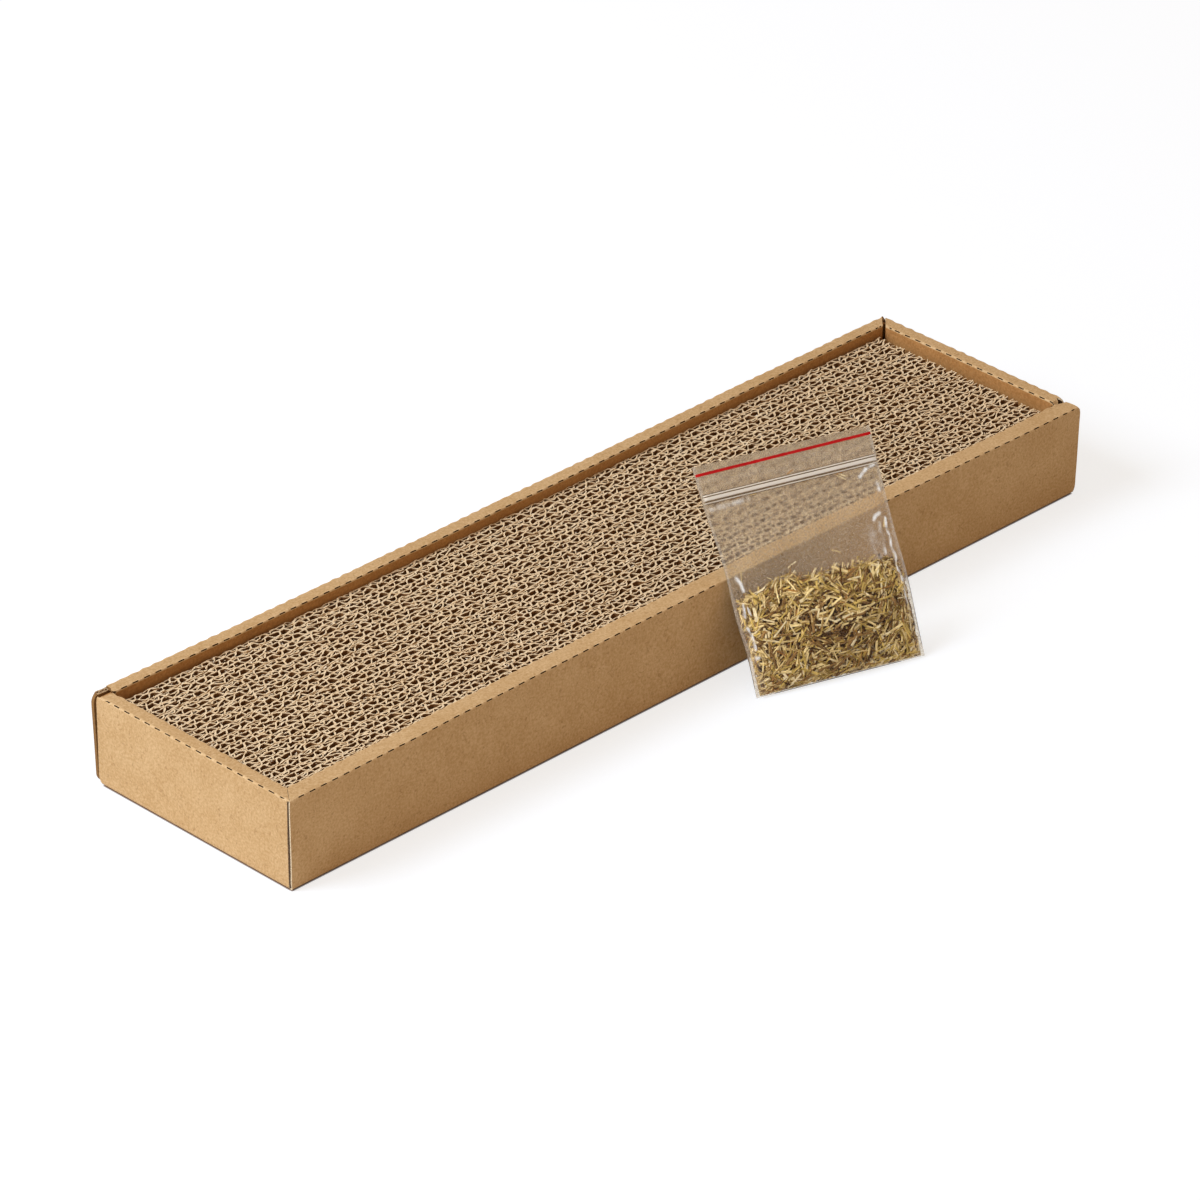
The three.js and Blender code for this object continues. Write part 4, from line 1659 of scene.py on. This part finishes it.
@dataclass
class CatnipBag:
    """Clear grip-seal bag of dried catnip: two films welded at the foot and sides, a seal and a red line.

    It stands on the floor and leans on the tray's front rim. Heights are up its slope. The bows of the
    side welds are given by depth, height and reach, and the sets of creases by their height, their angle
    and the distance between two creases. The seal is a broad ridge between two narrow ones.
    """

    finishes: FinishSet
    foot_width: float = 82.0
    top_width: float = 86.0
    height: float = 102.7
    yaw: float = 18.3
    lean: float = 34.5
    rest_x: float = 14.4
    clearance: float = 0.3
    seam_half: float = 0.5
    left_bows: Rows = ((1.7, 57.0, 20.0), (1.1, 18.0, 13.0))
    right_bows: Rows = ((0.9, 34.0, 18.0),)
    film: float = 0.12
    cell: float = 0.55
    front_bulge: float = 6.0
    back_bulge: float = 3.0
    bulge_start: float = 0.06
    bulge_top: float = 0.2
    bulge_fade: float = 0.22
    slack: float = 0.4
    slack_size: float = 26.0
    lump: float = 0.2
    lump_size: float = 6.5
    fill_edge: float = 46.0
    side_creases: Rows = ((0.5, 62.0, 8.5), (0.4, 118.0, 11.0))
    side_crease_reach: float = 9.0
    fine_creases: Rows = ((0.08, 35.0, 13.0), (0.07, 152.0, 17.0))
    lip_middle: float = 94.5
    lip_ripple: float = 0.1
    marked_ridge: float = 0.3
    weld: float = 1.3
    weld_white: float = 0.06
    foot_white: float = 0.08
    lip_white: float = 0.012
    pressed_mark: float = 0.4
    front_seed: int = 300
    back_seed: int = 400
    zip_low: float = 86.8
    zip_high: float = 89.8
    zip_spread: float = 1.25
    zip_rises: tuple[float, ...] = (
        -1.2, -0.95, -0.83, -0.45, -0.33, 0.3, 0.42, 1.0, 1.82, 1.94, 2.32, 2.44, 2.84, 2.96, 3.3)
    zip_ridges: tuple[float, ...] = (0, 0, 0.85, 0.85, 0, 0, 0.9, 1.0, 1.0, 0, 0, 0.85, 0.85, 0, 0)
    zip_relief: float = 0.3
    zip_stations: int = 220
    red_left: float = 98.7
    red_right: float = 99.2
    red_height: float = 1.25
    red_thickness: float = 0.05
    fill_foot: float = 0.6
    heap_shares: tuple[float, ...] = (0, 0.04, 0.3, 0.5, 0.9, 0.97, 1)
    heap_heights: tuple[float, ...] = (38, 43.5, 48.5, 46.3, 45.8, 43, 39)
    stalk_layers: int = 13
    front_layers: int = 9
    front_layer_step: float = 0.062
    back_layer_step: float = 0.04
    stalk_cell: float = 3.75
    stalk_shares: tuple[float, ...] = (0.31, 0.27, 0.24, 0.03, 0.12, 0.03)
    crumb_count: int = 800
    crumb_shares: tuple[float, ...] = (0.2, 0.24, 0.22, 0.04, 0.06, 0.19, 0.05)
    stray_layer: float = 0.8
    core_drop: float = 4.5
    core_front_gap: float = 1.4
    core_back_gap: float = 1.0

    def __post_init__(self) -> None:
        """Work out the bag's directions and where its foot stands."""
        turn, tilt = math.radians(self.yaw), math.radians(self.lean)
        self.across = np.array([math.cos(turn), -math.sin(turn), 0.0])
        ahead = np.array([-math.sin(turn), -math.cos(turn), 0.0])
        upright = np.array([0.0, 0.0, 1.0])
        self.up = upright * math.cos(tilt) - ahead * math.sin(tilt)
        self.out = ahead * math.cos(tilt) + upright * math.sin(tilt)
        seam = self.up * self.height + self.across * (self.foot_width - self.top_width) / 2
        seam /= np.linalg.norm(seam)
        foot_height = self.clearance + self.seam_half * self.out[2]
        bow = FRONT_BOW * (1 - (self.rest_x / TRAY_HALF_LENGTH) ** 2) ** 2
        rim = np.array([self.rest_x, -TRAY_HALF_WIDTH + bow, TRAY_HEIGHT])
        touch = rim + self.out * (self.seam_half + self.clearance)
        reach = (touch[2] - foot_height) / seam[2]
        self.foot = touch - seam * reach + self.across * self.foot_width / 2

    def point(self, share: Vec, up: Vec, depth: Vec) -> Vec:
        """Turn places in the bag into points.

        Args:
            share: Share of the way across, from the left seam to the right one.
            up: Height up the slope.
            depth: Depth out of the middle plane, positive to the front.

        Returns:
            Points, with the coordinate as the last axis.
        """
        width = self.foot_width + (self.top_width - self.foot_width) * up / self.height
        left_bow = sum(depth * hump(up, middle, reach) for depth, middle, reach in self.left_bows)
        right_bow = sum(depth * hump(up, middle, reach) for depth, middle, reach in self.right_bows)
        sideways = (share - 0.5) * width + left_bow * (1 - share) ** 2 + right_bow * share ** 2
        place = self.foot + sideways[..., None] * self.across + up[..., None] * self.up
        return place + depth[..., None] * self.out

    def film_depth(self, share: Vec, up: Vec, front: bool) -> Vec:
        """Give how far the middle of a film stands off the bag's middle plane, creases and all.

        Args:
            share: Share of the way across.
            up: Height up the slope.
            front: Whether it is the front film.

        Returns:
            Depths in millimetres, always positive.
        """
        bulge = self.front_bulge if front else self.back_bulge
        level = up / self.height
        centre = np.clip(1 - (2 * share - 1) ** 2, 0, 1)
        above = np.clip(level - self.bulge_top, 0, None)
        swell = (1 - np.exp(-level / self.bulge_start)) * (0.1 + 0.9 * hump(above, 0, self.bulge_fade))
        body = bulge * centre ** 0.7 * swell
        at_zip = hump(up, (self.zip_low + self.zip_high) / 2, 2.4) * np.clip(centre * 9, 0, 1)
        body = np.maximum(body, self.zip_spread * at_zip)
        x = share * self.top_width
        edge = np.minimum(x, self.top_width - x)
        near_edge = np.clip(edge / 3, 0, 1) * np.clip(up / 3, 0, 1) * np.clip((self.height - up) / 3, 0, 1)
        relief = self.film_relief(x, up, self.front_seed if front else self.back_seed)
        if front:
            relief = relief + self.marked_ridge * self.crease_marks(x, up)
        return np.clip(self.film + body + relief * near_edge, 0.1, None)

    def film_relief(self, x: Vec, up: Vec, seed: int) -> Vec:
        """Give the relief of the loose film: slack, lumps over the fill, creases and a rippled lip.

        Args:
            x: Places across, from the left seam.
            up: Height up the slope.
            seed: Number that picks the relief.

        Returns:
            Heights in millimetres.
        """
        beside = np.exp(-np.minimum(x, self.top_width - x) / self.side_crease_reach)
        fill = 1 / (1 + np.exp((up - self.fill_edge) / 4))
        slack = self.slack * wander_over(x, up, self.slack_size, seed) * (1 - fill)
        lumps = self.lump * wander_over(x, up, self.lump_size, seed + 1) * fill
        crumple = self.crease_sets(x, up, self.side_creases, seed + 2) * beside
        fine = self.crease_sets(x, up, self.fine_creases, seed + 6)
        lip = self.lip_ripple * wander_over(x * 0.2, up, 3.2, seed + 9) * hump(up, self.lip_middle, 4.5)
        calm = 1 - 0.75 * hump(up, (self.zip_low + self.zip_high) / 2, 2.6)
        return (slack + lumps + crumple + fine + lip) * calm

    def crease_sets(self, x: Vec, up: Vec, sets: Rows, seed: int) -> Vec:
        """Add up sets of creases.

        Args:
            x: Places across.
            up: Height up the slope.
            sets: Height, angle in degrees and distance between two creases of each set.
            seed: Number that picks how they waver.

        Returns:
            Heights in millimetres.
        """
        return sum(height * creases(x, up, angle, period, seed + 2 * place)
                   for place, (height, angle, period) in enumerate(sets))

    def crease_marks(self, x: Vec, up: Vec) -> Vec:
        """Give how white the listed creases are at each place, with x from the left seam."""
        return sum(crease.mark(x - self.top_width / 2, up) for crease in film_creases())

    def whiteness(self, share: Vec, up: Vec, front: bool) -> Vec:
        """Give how white the stressed film is at each place, which also sets its painted highlight, or how
        firmly the fill presses on it.

        Args:
            share: Share of the way across.
            up: Height up the slope.
            front: Whether it is the front film.

        Returns:
            Values up to 1 along the welds and creases, and below 0 where the fill presses.
        """
        x = share * self.top_width
        side = np.minimum(x, self.top_width - x)
        at_side = self.weld_white * np.clip((self.weld + 0.3 - side) / 0.6, 0, 1)
        at_foot = self.foot_white * np.clip((0.8 - up) / 0.6, 0, 1)
        veil = self.lip_white * (1 + wander_over(x * 0.15, up, 3, 510)) * hump(up, self.lip_middle, 5)
        total = at_side + at_foot + veil
        if front:
            broken = np.clip(0.95 + 0.9 * wander_over(x, up * 1.5, 3.6, 511), 0.15, 1.5)
            total = total + broken * self.crease_marks(x, up)
        pressed = np.clip((self.fill_top(share) - up) / 2.0, 0, 1) * np.clip((side - 3.2) / 2.5, 0, 1)
        return np.clip(total - self.pressed_mark * pressed * np.clip(up / 2, 0, 1), -self.pressed_mark, 1)

    def grid(self) -> tuple[Vec, Vec]:
        """Give the stations of a film.

        Returns:
            Share across and height up, as two grids.
        """
        shares = np.linspace(0, 1, int(self.top_width / self.cell))
        ups = np.linspace(0, self.height, int(self.height / self.cell))
        return np.meshgrid(shares, ups, indexing="ij")

    def build_films(self) -> None:
        """Make the front and back film."""
        share, up = self.grid()
        for name, node, side in (("front_film", "bag_front_film", 1), ("back_film", "bag_back_film", -1)):
            front = side > 0
            depth = self.film_depth(share, up, front)
            outer = self.point(share, up, side * (depth + self.film / 2))
            inner = self.point(share, up, side * (depth - self.film / 2))
            shape = Shape()
            shape.add_sheet(outer, inner, mark=self.whiteness(share, up, front))
            place_piece(shape.build(name, [self.finishes.film], sharp=60), "bag", "clear_film", node)

    def build_seal(self) -> None:
        """Make the rib and the groove of the grip seal."""
        ridge = np.array(self.zip_ridges)[None, :]
        share, up = np.meshgrid(np.linspace(0.012, 0.988, self.zip_stations),
                                self.zip_low + np.array(self.zip_rises), indexing="ij")
        for name, node, side in (("seal_rib", "zip_rib", 1), ("seal_groove", "zip_groove", -1)):
            depth = self.film_depth(share, up, side > 0)
            outer = self.point(share, up, side * (depth + self.film / 2 + 0.04 + ridge * self.zip_relief))
            inner = self.point(share, up, side * (depth - self.film / 2 - 0.12 - ridge * self.zip_relief))
            shape = Shape()
            shape.add_sheet(outer, inner, mark=np.broadcast_to(ridge, share.shape))
            piece = shape.build(name, [self.finishes.zip_seal], sharp=60)
            place_piece(piece, "bag", "zip_plastic", node)

    def build_red_line(self) -> None:
        """Make the red line that shows where the bag opens, on the front film's lip."""
        share, level = np.meshgrid(np.linspace(0.004, 0.996, 120), np.linspace(-0.5, 0.5, 4), indexing="ij")
        up = self.red_left + (self.red_right - self.red_left) * share + level * self.red_height
        depth = self.film_depth(share, up, True) + self.film / 2 + 0.02
        shape = Shape()
        shape.add_sheet(self.point(share, up, depth + self.red_thickness), self.point(share, up, depth))
        place_piece(shape.build("red_line", [self.finishes.red_line]), "bag", "zip_plastic")

    def fill_top(self, share: Vec) -> Vec:
        """Give the height of the loose fill across the bag: a low heap, highest left of the middle."""
        heap = np.interp(share, self.heap_shares, self.heap_heights)
        return heap + 0.9 * wander(share * self.top_width, 12, 77)

    def add_stalks(self, shape: Shape, draw: np.random.Generator, spots: Vec, sizes: Vec,
                   finish: Vec) -> None:
        """Add stalks and crumbs, held between the films.

        Args:
            shape: Piece that they belong to.
            draw: Random numbers.
            spots: For each, its place across in millimetres from the middle, height up, depth share from
                back to front, and direction in the plane of the bag in radians.
            sizes: For each, its length, width and thickness.
            finish: Number of the finish of each.
        """
        count = len(spots)
        x, up, layer, angle = (spots[:, column, None, None] for column in range(4))
        length, width, thick = (sizes[:, column, None, None] for column in range(3))
        along = np.linspace(-0.5, 0.5, 4)[None, :, None]
        turn = (2 * np.pi * (np.arange(6) + 0.5) / 6)[None, None, :]
        bend = draw.normal(0, 0.01, (count, 1, 1)) * length * 4 * along ** 2
        rise = draw.normal(0, 0.05, (count, 1, 1)) * length * along
        taper = 1 - draw.uniform(0, 0.15, (count, 1, 1)) * (along + 0.5) ** 2
        roll = draw.normal(0, 0.4, (count, 1, 1))
        wide = width / 2 * np.cos(turn) * taper
        deep = thick / 2 * np.sin(turn) * taper
        aside = wide * np.cos(roll) - deep * np.sin(roll) + bend
        ahead = wide * np.sin(roll) + deep * np.cos(roll)
        across = x + along * length * np.cos(angle) - aside * np.sin(angle)
        height = up + along * length * np.sin(angle) + aside * np.cos(angle)
        height = np.clip(height, self.fill_foot, 96)
        flare = self.top_width - self.foot_width
        share = np.clip(across / (self.foot_width + flare * height / self.height) + 0.5, 0.022, 0.978)
        front = self.film_depth(share, height, True) - self.film / 2 - 0.05
        back = -self.film_depth(share, height, False) + self.film / 2 + 0.05
        depth = np.clip(back + (front - back) * layer + rise + ahead, back, front)
        shape.add_rods(self.point(share, height, depth), finish)

    def loose_stalks(self, draw: np.random.Generator) -> tuple[Vec, Vec, Vec]:
        """Draw the chopped stalks: straight flat pieces, most of them close to a film.

        They lie along the heap's rim, and inside it they lean further the closer they are to a side.

        Args:
            draw: Random numbers.

        Returns:
            Spots, sizes and finishes as add_stalks takes them.
        """
        half, cell = self.foot_width / 2, self.stalk_cell
        sheets = []
        for layer in range(self.stalk_layers):
            grid = np.meshgrid(np.arange(-half, half, cell), np.arange(0, 52, cell))
            x, up = (line.ravel() + draw.uniform(0, cell, line.size) for line in grid)
            behind = layer - self.front_layers
            share = 1 - self.front_layer_step * layer if behind < 0 else self.back_layer_step * behind
            depths = np.full(x.size, share) + draw.normal(0, 0.012, x.size)
            sheets.append(np.stack([x, up, depths], axis=1))
        x, up, layer = np.concatenate(sheets).T
        top = self.fill_top(x / self.foot_width + 0.5)
        inside = (np.abs(x) < half - 1.8) & (up > self.fill_foot + 0.5) & (up < top - 0.8)
        x, up, layer, top = x[inside], up[inside], np.clip(layer[inside], 0.02, 1), top[inside]
        count = len(x)
        leaning = 0.2 + 0.75 * (x / 31) ** 2 + 0.75 * wander_over(x, up, 16, 88)
        angle = leaning + draw.normal(0, 0.6, count)
        at_rim = (up < 3.5) | (up > top - 2.5)
        angle = np.where(at_rim, draw.normal(0.15, 0.45, count), angle)
        length = np.clip(draw.lognormal(1.8, 0.3, count), 2.8, 10)
        width = np.clip(draw.lognormal(-0.08, 0.27, count), 0.5, 1.6)
        thick = np.clip(width * draw.uniform(0.55, 0.95, count), 0.4, 1.2)
        finish = draw.choice(len(self.stalk_shares), count, p=self.stalk_shares)
        return np.stack([x, up, layer, angle], axis=1), np.stack([length, width, thick], axis=1), finish

    def crumbs(self, draw: np.random.Generator) -> tuple[Vec, Vec, Vec]:
        """Draw the leaf crumbs and dust between the stalks, greyer low down right of the middle.

        Args:
            draw: Random numbers.

        Returns:
            Spots, sizes and finishes as add_stalks takes them.
        """
        count = self.crumb_count
        share = draw.uniform(0.025, 0.975, count)
        top = self.fill_top(share)
        up = self.fill_foot + 0.3 + (top - self.fill_foot + 0.6) * draw.uniform(0, 1, count) ** 1.2
        length = draw.uniform(0.8, 3.6, count)
        width = draw.uniform(0.35, 0.9, count)
        thick = draw.uniform(0.25, 0.5, count)
        finish = draw.choice(len(self.crumb_shares), count, p=self.crumb_shares)
        dusty = np.hypot((share - 0.64) / 0.16, (up - 7) / 8) < draw.uniform(0.5, 1.2, count)
        finish = np.where(dusty & (draw.uniform(0, 1, count) < 0.7), CatnipFinish.GREY, finish)
        layer = draw.uniform(0.78, 1.0, count)
        angle = draw.uniform(0, 2 * np.pi, count)
        spots = np.stack([(share - 0.5) * self.foot_width, up, layer, angle], axis=1)
        return spots, np.stack([length, width, thick], axis=1), finish

    def strays(self) -> tuple[Vec, Vec, Vec]:
        """Give the single stalks outside the heap.

        Returns:
            Spots, sizes and finishes as add_stalks takes them.
        """
        stalks = stray_stalks()
        spots = np.array([(stalk.x, stalk.up, self.stray_layer, stalk.angle) for stalk in stalks])
        sizes = np.array([(stalk.length, stalk.width, stalk.width * 0.5) for stalk in stalks])
        return spots, sizes, np.array([stalk.finish for stalk in stalks])

    def add_core(self, shape: Shape) -> None:
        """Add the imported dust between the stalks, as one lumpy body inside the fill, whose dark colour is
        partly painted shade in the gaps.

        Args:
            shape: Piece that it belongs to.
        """
        share, level = np.meshgrid(np.linspace(0.03, 0.97, 60), np.linspace(0, 1, 34), indexing="ij")
        up = self.fill_foot + 0.4 + (self.fill_top(share) - self.core_drop - self.fill_foot) * level
        x = share * self.top_width
        lump = 0.35 * wander_over(x, up, 4.5, 91) + 0.25 * wander_over(x, up, 2.2, 92)
        room = np.clip(1 - np.abs(2 * level - 1) ** 8, 0, 1)
        front = (self.film_depth(share, up, True) - self.core_front_gap + lump) * room
        back = (self.film_depth(share, up, False) - self.core_back_gap + lump) * room
        dust = (CatnipFinish.DUST, CatnipFinish.DUST)
        shape.add_sheet(self.point(share, up, np.clip(front, 0.05, None)),
                        self.point(share, up, -np.clip(back, 0.05, None)), dust, dust)

    def build_fill(self) -> None:
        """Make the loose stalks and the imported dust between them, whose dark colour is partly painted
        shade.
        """
        draw = np.random.default_rng(5)
        shape = Shape()
        self.add_core(shape)
        for spots, sizes, finish in (self.loose_stalks(draw), self.crumbs(draw), self.strays()):
            self.add_stalks(shape, draw, spots, sizes, finish)
        piece = shape.build("dried_catnip", self.finishes.stalks, sharp=50)
        place_piece(piece, "bag", "catnip", "catnip_fill")

    def build(self) -> None:
        """Make the films, the seal, the red line and the fill."""
        self.build_films()
        self.build_seal()
        self.build_red_line()
        self.build_fill()


def main() -> None:
    """Build the studio and the scratch board, piece by piece."""
    logging.basicConfig(level=logging.INFO, format="%(message)s")
    Studio().build()
    finishes = FinishSet()
    Tray(finishes).build()
    ScratchPad(finishes).build()
    CatnipBag(finishes).build()


if __name__ == "__main__":
    main()
